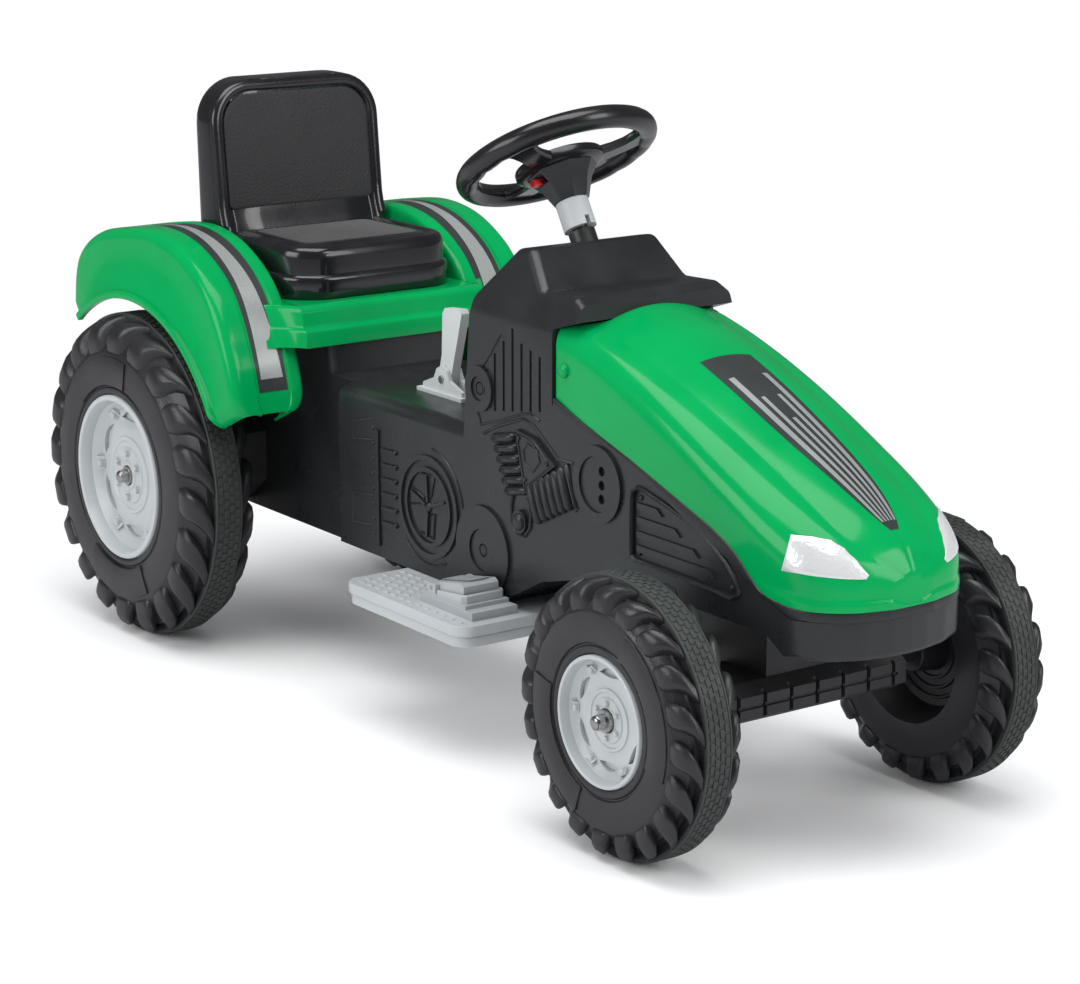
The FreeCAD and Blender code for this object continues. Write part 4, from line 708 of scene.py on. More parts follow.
def cap_mesh(half, cap):
    """Hub cap with six bolt heads round its middle, and six clips with nuts between its slots."""
    bolt = bolt_mesh(cap * 0.27, half - cap * CAP_FACE - 0.0012, cap * 0.042, cap * 0.05)
    nut = bolt_mesh(cap * 0.775, half - cap * CAP_BOWL + 0.005, cap * 0.05, cap * 0.06)
    rings = [ring_of(bolt, 6, 0, CAP_GREY), ring_of(clip_mesh(half, cap), 6, 30, CAP_GREY),
             ring_of(nut, 6, 30, CAP_GREY)]
    return joined([cap_face(half, cap)] + rings)


def axle_cap_mesh(tip):
    """Domed cap over the end of an axle."""
    return turned([(0.0004, tip - 0.009), (0.0068, tip - 0.009), (0.0068, tip - 0.0022),
                   (0.0063, tip - 0.0008),
                   (0.0046, tip + 0.0007), (0.0024, tip + 0.0013), (0.0004, tip + 0.0014)], 32)


SIDES = (("right", -1), ("left", 1))
for end, (*_, radius, half, band, cap) in WHEELS.items():
    for name, side in SIDES:
        body = f"{end}_wheel_{name}"
        tyre = placed(tyre_mesh(end, radius, half, band, cap), end, side)
        fit(new_piece(f"{end}_tyre_moulding_{name}", tyre), body, "tyre_black", TYRE_BLACK,
            f"{end}_tyre_{name}")
        tread = placed(band_mesh(radius, band), end, side)
        fit(new_piece(f"{end}_rubber_band_{name}", tread), body, "band_rubber", BAND_RUBBER,
            f"{end}_band_{name}")
        cover = placed(cap_mesh(half, cap), end, side)
        fit(new_piece(f"{end}_cap_{name}", cover), body, "rim_grey", CAP_GREY, f"{end}_hub_cap_{name}")
        acorn = placed(axle_cap_mesh(half - cap * HUB_FACE + AXLE_TIP), end, side)
        fit(new_piece(f"{end}_axle_cap_{name}", acorn), f"knuckle_{name}" if end == "front" else "chassis",
            "steel", ZINC)


# Steering: a gloss black wheel with three broad spokes on a faceted housing, with a grey collar and a
# black-coated steel shaft below it. A horn button sits in the hub, and a red slide switch in the housing.
COLUMN = Matrix.Translation((0.082, 0, 0.558)) @ Matrix.Rotation(math.radians(-31), 4, "Y")
LATHE_UP = Matrix.Rotation(math.radians(90), 4, "X")
GLOSS_BLACK = moulded("gloss_black", (0.009, 0.009, 0.010), 0.24, 800, 0.00006, dust=0.02, coat=0.2)
COLLAR_GREY = moulded("collar_grey", (0.49, 0.51, 0.52), 0.42, 600, 0.00015)
SWITCH_RED = moulded("switch_red", (0.55, 0.015, 0.02), 0.34, 500, 0.0001, dust=0.02)
SHAFT_BLACK = moulded("shaft_black", (0.014, 0.014, 0.015), 0.38, 300, 0.0001)
RING_RADIUS = 0.089
RING_TUBE = 0.011


def wheel_ring(steps=120, sides=20):
    """Ring of the steering wheel, with shallow finger waves under both hands."""
    bm = bmesh.new()
    rows = []
    for i in range(steps):
        turn = 2 * math.pi * i / steps
        hand = max(0.0, 1 - abs(abs(math.degrees(turn) - 180) - 90) / 42) ** 0.5
        row = []
        for k in range(sides):
            spin = 2 * math.pi * k / sides
            under = max(0.0, -math.sin(spin + 0.6))
            tube = RING_TUBE * (1 - 0.11 * hand * under * max(0.0, math.cos(turn * 20)))
            reach = RING_RADIUS + tube * math.cos(spin)
            row.append(bm.verts.new((reach * math.cos(turn), reach * math.sin(turn), tube * math.sin(spin))))
        rows.append(row)
    woven(bm, rows + rows[:1])
    return finished(bm, 60)


def spoke_mesh(degrees):
    """Broad spoke, waisted in the middle, that runs from the hub into the ring."""
    loops = []
    for reach, wide, low, high in (
            (0.030, 0.0165, -0.0142, -0.0046), (0.040, 0.0140, -0.0138, -0.0046),
            (0.052, 0.0124, -0.0125, -0.0040), (0.064, 0.0124, -0.0110, -0.0028),
            (0.074, 0.0140, -0.0090, -0.0006), (0.082, 0.0180, -0.0070, 0.0030),
            (0.088, 0.0215, -0.0050, 0.0045)):
        soft = (high - low) * 0.28
        section = [
            (-wide, low + soft), (-wide, high - soft), (-wide + soft, high), (-wide * 0.6, high - 0.0008),
            (0, high - 0.0014), (wide * 0.6, high - 0.0008), (wide - soft, high), (wide, high - soft),
            (wide, low + soft), (wide - soft, low), (-wide + soft, low)]
        loops.append([Vector((reach, y, z)) for y, z in section])
    spoke = skin_over(loops, 40)
    spoke.transform(Matrix.Rotation(math.radians(degrees), 4, "Z"))
    return spoke


HUB_PROFILE = [
    # radius, height, from the underside round the rim to the well of the button
    (0.0004, -0.016), (0.0362, -0.016), (0.042, -0.0142), (0.044, -0.0124), (0.044, -0.0068),
    (0.0428, -0.0048), (0.040, -0.0038), (0.0236, -0.0034), (0.0226, -0.0042), (0.0214, -0.0042),
    (0.0204, -0.0034), (0.0174, -0.0036), (0.0162, -0.0046), (0.0162, -0.01), (0.0004, -0.01)]
BUTTON_PROFILE = [
    (0.0004, -0.0077), (0.015, -0.0077), (0.0157, -0.007), (0.0157, -0.0034), (0.0149, -0.0024),
    (0.0125, -0.0019), (0.011, -0.0023), (0.0098, -0.0019), (0.005, -0.0016), (0.0004, -0.0015)]
hub = turned(HUB_PROFILE, 64)
hub.transform(LATHE_UP)
wheel = joined([wheel_ring(), hub] + [spoke_mesh(turn) for turn in (180, 300, 60)])
wheel.transform(COLUMN)
fit(new_piece("wheel_moulding", wheel), "steering", "button_black", GLOSS_BLACK, "steering_wheel")
button = turned(BUTTON_PROFILE, 48)
button.transform(COLUMN @ LATHE_UP)
fit(new_piece("horn_cap", button), "horn", "button_black", SHAFT_BLACK, "horn_button")
soft_copy("housing_cone", "steering_cone", "steering", "body_black", CHARCOAL, 0.0012, bend=20)
soft_copy("shaft_rod", "steering_shaft", "steering", "steel", SHAFT_BLACK, 0.0006)
soft_copy("collar_ring", "steering_collar", "steering", "trim_grey", COLLAR_GREY, 0.0012)
soft_copy("slide_switch", "sound_switch", "music_switch", "switch_red", SWITCH_RED, 0.0007)
soft_copy("shaft_bushes", "steering_bushes", "chassis", "body_black", SHAFT_BLACK, 0.0005)
SWITCH_RIDGE = ((-0.0005, 0.001), (-0.0004, -0.0007), (0.0004, -0.0007), (0.0005, 0.001))
ridge = skin_over([[Vector((x, y, z)) for x, y in SWITCH_RIDGE] for z in (-0.0024, 0.0024)], 0)
ridges = row_of(ridge, 4, (-0.0064, -0.0343, -0.0235), (0.0019, 0, 0), SWITCH_RED)
ridges.transform(COLUMN)
fit(new_piece("switch_ridges", ridges), "music_switch", "switch_red", SWITCH_RED)


# Hood: one gloss green skin, pressed in a mould, with a sunk panel along its crown. It sits in the body's
# raised black rim, tucks under the dash lip, and is held by a screw at each rear corner.
HOOD_GREEN = moulded("hood_green", (0.0, 0.30, 0.075), 0.15, 700, 0.00003, dust=0.0, coat=0.08, swing=0.06)
HOOD_GREEN.node_tree.nodes["Principled BSDF"].inputs["Specular IOR Level"].default_value = 0.2
HOOD_STATIONS = [
    # x, half width, crown height, crown above shoulder, shoulder radius
    (0.208, 0.092, 0.447, 0.015, 0.026), (0.290, 0.095, 0.426, 0.015, 0.030),
    (0.370, 0.097, 0.398, 0.015, 0.034), (0.450, 0.097, 0.363, 0.014, 0.038),
    (0.520, 0.094, 0.329, 0.013, 0.040), (0.562, 0.082, 0.303, 0.011, 0.036),
    (0.584, 0.056, 0.284, 0.009, 0.026), (0.594, 0.024, 0.266, 0.005, 0.014)]
# x, z of the body's upper line, which carries the rim
HOOD_SEAT = [(0.206, 0.3513), (0.338, 0.3133), (0.468, 0.2613), (0.514, 0.2393), (0.542, 0.2263),
             (0.6, 0.2263)]
HOOD_EDGE = [
    # x, z of the line between the rim and the hood
    (0.206, 0.3582), (0.2146, 0.355), (0.233, 0.3485), (0.252, 0.3429), (0.288, 0.3332), (0.324, 0.3236),
    (0.359, 0.3132), (0.393, 0.3024), (0.427, 0.2915), (0.444, 0.2856), (0.460, 0.2787), (0.470, 0.2738),
    (0.477, 0.2696), (0.485, 0.2634), (0.493, 0.2563), (0.500, 0.2499), (0.505, 0.2461), (0.5095, 0.2436),
    (0.517, 0.2409), (0.525, 0.2391), (0.541, 0.2366), (0.556, 0.2354), (0.600, 0.2352)]
# x, z of the dash lip's underside, where the hood tucks in
LEDGE = [(0.206, 0.4207), (0.2383, 0.4307)]
LEDGE_END = 0.2385
PANEL_START, PANEL_END, PANEL_HALF, PANEL_DEPTH = 0.338, 0.574, 0.031, 0.0014
RIM_HALF = 0.0948
# height of the flange along the nose, above the edge, and how far it stands out
CHIN, CHIN_PROUD = 0.0095, 0.0013
HOOD_WALL, LENS_WALL = 0.0026, 0.002


def along(points, x):
    """Height of a line of (x, z) points at x."""
    for (x0, z0), (x1, z1) in zip(points, points[1:]):
        if x <= x1:
            return z0 + (z1 - z0) * (x - x0) / (x1 - x0)
    return points[-1][1]


def smooth_through(points, x):
    """Values at x on a smooth curve through rows of (x, value, ...)."""
    last = len(points) - 1
    i = max(k for k in range(last) if points[k][0] <= x + 1e-9 or k == 0)
    before, low, high, after = [points[min(max(i + k, 0), last)] for k in (-1, 0, 1, 2)]
    run = high[0] - low[0]
    t = (x - low[0]) / run
    values = []
    for column in range(1, len(low)):
        leaving = (high[column] - before[column]) / (high[0] - before[0])
        arriving = (after[column] - low[column]) / (after[0] - low[0])
        values.append((2 * t**3 - 3 * t**2 + 1) * low[column] + (t**3 - 2 * t**2 + t) * run * leaving
                      + (3 * t**2 - 2 * t**3) * high[column] + (t**3 - t**2) * run * arriving)
    return values


def hood_station(x):
    """Half width, crown height, crown and shoulder radius at x."""
    return smooth_through(HOOD_STATIONS, x)


def panel_half(x):
    """Half width of the sunk panel, which narrows to a round tip at the nose."""
    share = (x - PANEL_START) / (PANEL_END - PANEL_START)
    return PANEL_HALF * math.sqrt(max(0.0, 1 - max(share, 0.0) ** 2.4)) if share > -0.02 else 0.0


def step(value, width):
    """0 below zero, 1 above the width, smooth between."""
    t = min(max(value / width, 0.0), 1.0)
    return t * t * (3 - 2 * t)


def hood_half_section(x):
    """Fine (y, z) points of the left half, from the foot up to the crown."""
    half, top, crown, corner = hood_station(x)
    side_top = top - crown - corner
    foot = along(HOOD_EDGE, x)
    run = half - corner
    points = [(half, foot + (side_top - foot) * i / 12) for i in range(12)]
    points += [(run + corner * math.cos(math.radians(a)), side_top + corner * math.sin(math.radians(a)))
               for a in range(0, 90, 6)]
    points += [(run * (1 - i / 30), top - crown * (1 - i / 30) ** 2) for i in range(31)]
    return points


def resample(points, count, start, end):
    """Evenly spaced points between two shares of a line's length."""
    lengths = [0.0]
    for a, b in zip(points, points[1:]):
        lengths.append(lengths[-1] + math.dist(a, b))
    result = []
    for i in range(count + 1):
        goal = lengths[-1] * (start + (end - start) * i / count)
        k = max(j for j in range(len(points) - 1) if lengths[j] <= goal + 1e-12)
        span = lengths[k + 1] - lengths[k]
        t = min(1.0, (goal - lengths[k]) / span) if span else 0.0
        result.append(tuple(p + (q - p) * t for p, q in zip(points[k], points[k + 1])))
    return result


def ledge_share(x):
    """Share of the half section that lies below the dash ledge."""
    points = hood_half_section(x)
    level = along(LEDGE, x)
    total = sum(math.dist(a, b) for a, b in zip(points, points[1:]))
    below = sum(math.dist(a, b) for a, b in zip(points, points[1:]) if b[1] <= level)
    return below / total


HOOD_LEAD = [0.2083, 0.2185, 0.2285, LEDGE_END]
HOOD_XS = HOOD_LEAD + [LEDGE_END + (0.562 - LEDGE_END) * i / 80 for i in range(1, 81)]
HOOD_XS += [0.562 + 0.032 * math.sin(math.pi / 2 * i / 14) for i in range(1, 15)]


def rim_mesh():
    """Rim of the body, from its upper line to the edge of the hood, round the nose."""
    plan = [Vector((x, -max(hood_station(x)[0], RIM_HALF if x < 0.4 else 0), 0)) for x in HOOD_XS]
    plan += [Vector((point.x, -point.y, 0)) for point in plan[::-1]]
    loops = []
    for i, point in enumerate(plan):
        way = (plan[min(i + 1, len(plan) - 1)] - plan[max(i - 1, 0)]).normalized()
        out = Vector((way.y, -way.x, 0))
        low, high = along(HOOD_SEAT, point.x) - 0.0002, along(HOOD_EDGE, point.x)
        section = ((-0.003, low), (0.0002, low), (0.0008, low + 0.0006), (0.0010, high - 0.0014),
                   (0.0007, high - 0.0006), (0, high - 0.0002), (-0.003, high - 0.0002))
        loops.append([point + out * reach + Vector((0, 0, z)) for reach, z in section])
    return skin_over(loops, 34)


def hood_mesh():
    """Skin of the hood: section by section, with the sunk panel and the chin flange pressed into it."""
    bm = bmesh.new()
    lower_rows, upper_rows = 26, 22
    end_share = ledge_share(LEDGE_END)
    grid = []
    for x in HOOD_XS:
        split = ledge_share(x) if x < LEDGE_END else end_share
        section = hood_half_section(x)
        half = resample(section, lower_rows, 0, split) + resample(section, upper_rows, split, 1)[1:]
        row = []
        for y, z in half[:-1] + [(0.0, half[-1][1])] + [(-y, z) for y, z in half[-2::-1]]:
            sunk = step(panel_half(x) + 0.003 - abs(y), 0.003) * step(x - PANEL_START + 0.004, 0.004)
            chin = CHIN_PROUD * step(x - 0.500, 0.02) * step(along(HOOD_EDGE, x) + CHIN - z, 0.003)
            spread = min(max(y / 0.02, -1.0), 1.0)
            place = (x + chin * step(x - 0.56, 0.03), y + chin * spread, z - PANEL_DEPTH * sunk)
            row.append(bm.verts.new(place))
        grid.append(row)
    tip = [vert.co.copy() for vert in grid[-1]]
    foot = tip[0].z
    for share, swell in ((0.8, 0.0005), (0.55, 0.0009), (0.3, 0.0011)):
        grid.append([bm.verts.new((p.x + swell, p.y * share, foot + (p.z - foot) * share)) for p in tip])
    for below_ledge in (slice(lower_rows + 1), slice(-lower_rows - 1, None)):
        woven(bm, [row[below_ledge] for row in grid[:len(HOOD_LEAD)]], ring=False)
    woven(bm, grid[len(HOOD_LEAD) - 1:], ring=False)
    bm.faces.new(grid[-1])
    bmesh.ops.delete(bm, geom=[v for v in bm.verts if not v.link_faces], context="VERTS")
    return finished(bm, 34, UPWARD)


def thickened(piece, wall):
    """Give an open skin its wall, inwards."""
    solid = piece.modifiers.new("wall", "SOLIDIFY")
    solid.thickness = wall
    solid.offset = -1
    plain_mesh(piece)
    return piece


hood_skin = thickened(new_piece("hood_skin", hood_mesh()), HOOD_WALL)
fit(hood_skin, "chassis", "hood_green", HOOD_GREEN, "hood")
fit(new_piece("hood_rim", rim_mesh()), "chassis", "body_black", CHARCOAL)
LENS_SILVER = moulded("lens_silver", (0.74, 0.75, 0.76), 0.22, 260, 0.0005, dust=0.0, metal=0.35, swing=0.1)
LENS_TOP = [
    # x, z of the upper edge, from the rear corner down to the tip
    (0.530, 0.296), (0.5458, 0.2956), (0.5566, 0.2932), (0.5667, 0.2875), (0.577, 0.2788), (0.5836, 0.2707),
    (0.588, 0.2637)]
LENS_FOOT = [(0.530, 0.2663), (0.550, 0.2668), (0.568, 0.2658), (0.588, 0.2631)]
LENS_START, LENS_BOW, LENS_END = 0.5318, 0.0026, 0.5862
LENS_LIFT, LENS_EDGE_LIFT = 0.0011, 0.0003


def skin_y(x, z):
    """Half width of the hood at one place of its side or shoulder."""
    half, top, crown, corner = hood_station(x)
    above = max(z - (top - crown - corner), 0.0)
    return half - corner + math.sqrt(max(corner ** 2 - above ** 2, 0.0))


def lens_mesh(side, columns=26, ranks=12):
    """Lens on a corner of the nose: it follows the hood and stands a little proud, with a chamfered edge."""
    bm = bmesh.new()
    rows = []
    for i in range(columns + 1):
        row = []
        for k in range(ranks + 1):
            share = k / ranks
            start = LENS_START + LENS_BOW * 4 * share * (1 - share)
            x = start + (LENS_END - start) * i / columns
            foot, top = along(LENS_FOOT, x), along(LENS_TOP, x)
            z = foot + (top - foot) * share
            row.append(bm.verts.new((x, side * skin_y(x, z), z)))
        rows.append(row)
    woven(bm, rows, ring=False)
    bm.normal_update()
    outward = 1 if sum(face.normal.y * face.calc_area() for face in bm.faces) * side > 0 else -1
    lifts = [LENS_EDGE_LIFT if vert.is_boundary else LENS_LIFT for vert in bm.verts]
    places = [vert.co + vert.normal * outward * lift for vert, lift in zip(bm.verts, lifts)]
    for vert, place in zip(bm.verts, places):
        vert.co = place
    return finished(bm, 40, Vector((0, side, 0)))


for half, side in SIDES:
    lens = thickened(new_piece(f"lens_{half}", lens_mesh(side)), LENS_WALL)
    fit(lens, "chassis", "lens_silver", LENS_SILVER, f"headlight_{half}")


# Hood panel print: a dark film in the sunk panel, with tapered silver bars that run to its tip. It is a
# thin self-adhesive foil that follows the crown.
FILM_DARK = moulded("film_dark", (0.03, 0.035, 0.035), 0.3, 300, 0.00003, dust=0.02, coat=0.2)
FILM_SILVER = moulded("film_silver", (0.46, 0.49, 0.48), 0.26, 300, 0.00003, dust=0.0, metal=0.5)


def crown_z(x, y):
    half, top, crown, corner = hood_station(x)
    return top - crown * (y / (half - corner)) ** 2


def crown_strip(bm, start, end, left, right, lift, steps=60, across=8):
    """Strip of film on the crown: left and right give its edges, as y, for each x."""
    rows = []
    for i in range(steps + 1):
        x = start + (end - start) * i / steps
        ys = [right(x) + (left(x) - right(x)) * k / across for k in range(across + 1)]
        rows.append([bm.verts.new((x, y, crown_z(x, y) - PANEL_DEPTH + lift)) for y in ys])
    woven(bm, rows, ring=False)


def film_piece(name, bm, slot, material):
    return fit(new_piece(name, finished(bm, 40, UPWARD)), "chassis", slot, material)


FILM_LIFT, BAR_LIFT = 0.0003, 0.00055
HOOD_BARS = [
    # centre and half width as shares of the panel's half width, x of the rear end
    (-0.62, 0.1, 0.372), (-0.3, 0.07, 0.404), (0.0, 0.07, 0.436), (0.3, 0.07, 0.404), (0.62, 0.1, 0.372)]
film = bmesh.new()
crown_strip(film, PANEL_START + 0.002, PANEL_END - 0.004, lambda x: panel_half(x) - 0.002,
            lambda x: 0.002 - panel_half(x), FILM_LIFT)
film_piece("hood_film", film, "trim_grey", FILM_DARK)
bars = bmesh.new()
for centre, wide, start in HOOD_BARS:
    crown_strip(bars, start, PANEL_END - 0.012, lambda x: panel_half(x) * (centre + wide),
                lambda x: panel_half(x) * (centre - wide), BAR_LIFT)
film_piece("hood_bars", bars, "trim_grey", FILM_SILVER)


# Fender deck: one gloss green moulding. An arch stands over each rear wheel, with a rolled lip and a
# shallow channel along its top, and a stepped deck under the seat joins the two.
AXLE_X, AXLE_Z = -0.42, 0.175
FENDER_LINE = [
    # x, z of the top line, from the front foot to the tail
    (-0.204, 0.276), (-0.222, 0.340), (-0.258, 0.398), (-0.308, 0.430), (-0.363, 0.444), (-0.440, 0.440),
    (-0.505, 0.425), (-0.545, 0.396), (-0.556, 0.352)]
FENDER_POLAR = [(math.degrees(math.atan2(z - AXLE_Z, x - AXLE_X)), math.hypot(x - AXLE_X, z - AXLE_Z))
                for x, z in FENDER_LINE]
ARCH_RADIUS = 0.1905
FENDER_INNER, FENDER_OUTER = 0.110, 0.195
FENDER_MIDDLE = 0.1525
# angle over which the foot's corners are round, and the share of its width that they take
FOOT_TURN, FOOT_DRAW = 5.5, 0.3
LIP_HEIGHT, LIP_PROUD = 0.009, 0.005
FENDER_WALL = 0.0027
CHANNEL_LOW, CHANNEL_HIGH, CHANNEL_DEPTH = 0.1265, 0.1655, 0.0014


def fender_top(angle):
    """Radius of the top line at an angle about the axle."""
    return smooth_through(FENDER_POLAR, angle)[0]


def fender_point(angle, radius, y):
    turn = math.radians(angle)
    return Vector((AXLE_X + radius * math.cos(turn), y, AXLE_Z + radius * math.sin(turn)))


def fender_section(angle):
    """(y, radius) points across one arch, from the outer lip over the top to the inner foot."""
    top = fender_top(angle)
    depth = CHANNEL_DEPTH * step(100 - angle, 4)
    lip = ARCH_RADIUS + LIP_HEIGHT
    above = min((angle - FENDER_POLAR[0][0]) / FOOT_TURN, 1.0)
    narrow = 1 - FOOT_DRAW * (1 - math.sqrt(max(1 - (1 - above) ** 2, 0.0)))
    rolled_lip = [
        (-0.001, ARCH_RADIUS), (0.0044, ARCH_RADIUS), (LIP_PROUD, ARCH_RADIUS + 0.001),
        (LIP_PROUD, lip - 0.002), (0.0042, lip - 0.0008), (0.0008, lip), (0.0, lip + 0.0012)]
    shoulder = [
        (0.0, top - 0.013), (-0.0006, top - 0.0085), (-0.0024, top - 0.0045), (-0.0055, top - 0.0016),
        (-0.0095, top - 0.0002), (-0.016, top)]
    section = [(FENDER_OUTER + y, radius) for y, radius in rolled_lip + shoulder]
    section += [(CHANNEL_HIGH + 0.0012, top)]
    section += [(y, top - depth) for y in (CHANNEL_HIGH, 0.155, 0.146, 0.137, CHANNEL_LOW)]
    section += [
        (CHANNEL_LOW - 0.0012, top), (FENDER_INNER + 0.0065, top), (FENDER_INNER + 0.003, top - 0.001),
        (FENDER_INNER + 0.0008, top - 0.0035), (FENDER_INNER, top - 0.008), (FENDER_INNER, lip),
        (FENDER_INNER, ARCH_RADIUS)]
    lip_reach = FENDER_OUTER + LIP_PROUD * above
    return [(FENDER_MIDDLE + (min(y, lip_reach) - FENDER_MIDDLE) * narrow, radius) for y, radius in section]


def fender_mesh(side, foot_steps=8, steps=92):
    """One arch, with round lower corners at its front foot."""
    bm = bmesh.new()
    first, last = FENDER_POLAR[0][0], FENDER_POLAR[-1][0]
    knee = first + FOOT_TURN
    angles = [first + FOOT_TURN * (1 - math.cos(math.pi / 2 * i / foot_steps)) for i in range(foot_steps)]
    angles += [knee + (last - knee) * i / steps for i in range(steps + 1)]
    rows = []
    for angle in angles:
        rows.append([bm.verts.new(fender_point(angle, r, side * y)) for y, r in fender_section(angle)])
    woven(bm, rows, ring=False)
    return finished(bm, 36, UPWARD)


DECK_LINE = [
    # x, z from the front lip over the step and the top to the rear
    (-0.198, 0.339), (-0.198, 0.3545), (-0.1987, 0.3562), (-0.2002, 0.3572), (-0.2036, 0.3582),
    (-0.2048, 0.3594), (-0.2054, 0.3612), (-0.2068, 0.3735), (-0.2076, 0.3762), (-0.2098, 0.3784),
    (-0.213, 0.3798), (-0.22, 0.380), (-0.225, 0.380), (-0.484, 0.380), (-0.4885, 0.3785), (-0.490, 0.374),
    (-0.490, 0.339)]
BLEND_REACH = 0.034


def deck_mesh():
    bm = bmesh.new()
    half = FENDER_INNER + 0.001
    rows = [[bm.verts.new((x, y, z)) for y in (-half, -half / 3, half / 3, half)] for x, z in DECK_LINE]
    woven(bm, rows, ring=False)
    return finished(bm, 36, UPWARD)


def blend_mesh(side, steps=12):
    """Hollow corner where the front of the deck runs out into the front of a fender."""
    bm = bmesh.new()
    wall = sorted((z, x) for x, z in FENDER_LINE[:4])
    front = [(x, z, 1.0) for x, z in DECK_LINE if x > -0.2255]
    front.append((front[-1][0], front[-1][1], 0.0))
    shares = [i / steps for i in range(steps + 1)]
    rows = []
    for x, z, stand in front:
        goal = along(wall, z) + 0.0004
        rows.append([bm.verts.new((goal + (x - goal) * stand * (1 - share) ** 2.2,
                                   side * (FENDER_INNER + BLEND_REACH * share), z)) for share in shares])
    woven(bm, rows, ring=False)
    return finished(bm, 36, Vector((1, 0, 0)))


shell = joined([fender_mesh(-1), fender_mesh(1), deck_mesh(), blend_mesh(-1), blend_mesh(1)])
fender_shell = thickened(new_piece("fender_shell", shell), FENDER_WALL)
fit(fender_shell, "chassis", "hood_green", HOOD_GREEN, "fender_deck")
FENDER_FILMS = [
    # name, material, inner and outer edge, first and last angle, lift, taper
    ("film", FILM_DARK, 0.129, 0.163, 30, 96, FILM_LIFT, 0.0),
    ("bar", FILM_SILVER, 0.133, 0.159, 33, 92, BAR_LIFT, 0.5),
]
FILM_STEPS = 60
for half, side in SIDES:
    for label, material, low, high, start, end, lift, taper in FENDER_FILMS:
        film = bmesh.new()
        rows = []
        for i in range(FILM_STEPS + 1):
            angle = start + (end - start) * i / FILM_STEPS
            radius = fender_top(angle) - CHANNEL_DEPTH + lift
            narrow = (high - low) * taper * i / FILM_STEPS
            rows.append([film.verts.new(fender_point(angle, radius, side * y))
                         for y in (low + narrow, high - narrow * 0.6)])
        woven(film, rows, ring=False)
        film_piece(f"fender_{label}_{half}", film, "trim_grey", material)


# Seat: a gloss black blow-moulding in one piece. A two-tier base with a bead round its pan carries a raked
# back with round top corners, and pebbled panels are let into the pan and the back.
SEAT_BLACK = moulded("seat_black", (0.008, 0.008, 0.010), 0.22, 420, 0.00006, dust=0.03, coat=0.4)
SEAT_PEBBLE = moulded("seat_pebble", (0.014, 0.014, 0.016), 0.5, 420, 0.0005, dust=0.03)
pebble_shader = SEAT_PEBBLE.node_tree.nodes["Principled BSDF"]
set_inputs(pebble_shader, {"Sheen Weight": 0.22, "Sheen Roughness": 0.35})
SEAT_FRONT, SEAT_REAR, SEAT_HALF = -0.230, -0.434, 0.104
SEAT_CORNER = 0.046
SEAT_TOP = 0.592


def plan_loop(draw, z, rear_draw=0.0):
    """Outline of the base at one height: round front corners, tighter rear corners."""
    front, rear, half = SEAT_FRONT - draw, SEAT_REAR + rear_draw, SEAT_HALF - draw
    points = []
    for x, y, radius, start in (
            (front, half, max(SEAT_CORNER - draw, 0.012), 0), (rear, half, 0.01, 90),
            (rear, -half, 0.01, 180), (front, -half, max(SEAT_CORNER - draw, 0.012), 270)):
        cx = x - radius if x == front else x + radius
        cy = y - radius if y > 0 else y + radius
        for i in range(9):
            turn = math.radians(start + 90 * i / 8)
            points.append(Vector((cx + radius * math.cos(turn), cy + radius * math.sin(turn), z)))
    return points


def seat_base():
    steps = [
        # inset, height
        (0.004, 0.3803), (0.001, 0.3806), (0.0, 0.3825), (0.0, 0.400), (0.0008, 0.4035), (0.003, 0.4052),
        (0.0042, 0.4056), (0.0044, 0.422), (0.0050, 0.4275), (0.0068, 0.4316), (0.0096, 0.4338),
        (0.0130, 0.4345), (0.0165, 0.4338), (0.0185, 0.4322), (0.0205, 0.4316), (0.0228, 0.4324),
        (0.0250, 0.4336), (0.0290, 0.4340)]
    return skin_over([plan_loop(draw, z, draw * 0.15) for draw, z in steps], 40)


def back_front(z):
    line = [(-0.426, -0.378), (0.426, -0.378), (0.439, -0.381), (0.456, -0.388), (SEAT_TOP, -0.402)]
    return along(line, z)


def back_rear(z):
    return along([(-0.426, -0.434), (0.426, -0.434), (SEAT_TOP, -0.440)], z)


def back_loop(z, half, shrink):
    """Outline of the back at one height: bead at each side of its front, round rear edges."""
    front, rear = back_front(z) - shrink, back_rear(z) + shrink
    half -= shrink
    front_line = [
        (half - 0.0005, front - 0.010), (half - 0.002, front - 0.0045), (half - 0.0055, front - 0.001),
        (half - 0.010, front), (half - 0.0145, front - 0.0008), (half - 0.017, front - 0.0026),
        (half - 0.020, front - 0.0026), (half - 0.0235, front - 0.0006), (half * 0.5, front), (0, front)]
    rear_line = [
        (0, rear), (half * 0.5, rear), (half - 0.010, rear), (half - 0.0045, rear + 0.0015),
        (half - 0.001, rear + 0.006), (half, rear + 0.012)]
    left = [Vector((x, y, z)) for y, x in front_line[::-1] + rear_line[::-1]]
    return left + [Vector((p.x, -p.y, p.z)) for p in left[-2:0:-1]]


def seat_back():
    shoulder = SEAT_TOP - SEAT_CORNER
    heights = (0.424, 0.430, 0.436, 0.442, 0.450, 0.458, 0.475, 0.500, 0.525, shoulder)
    loops = [back_loop(z, SEAT_HALF, 0) for z in heights]
    for a in range(12, 85, 8):
        rise, reach = SEAT_CORNER * math.sin(math.radians(a)), SEAT_CORNER * math.cos(math.radians(a))
        loops.append(back_loop(shoulder + rise, SEAT_HALF - SEAT_CORNER + reach, 0))
    top_half = SEAT_HALF - SEAT_CORNER + 0.002
    for shrink, lift in ((0.0006, -0.0008), (0.003, 0.0), (0.008, 0.0004)):
        loops.append(back_loop(SEAT_TOP + lift, top_half, shrink))
    return skin_over(loops, 40)


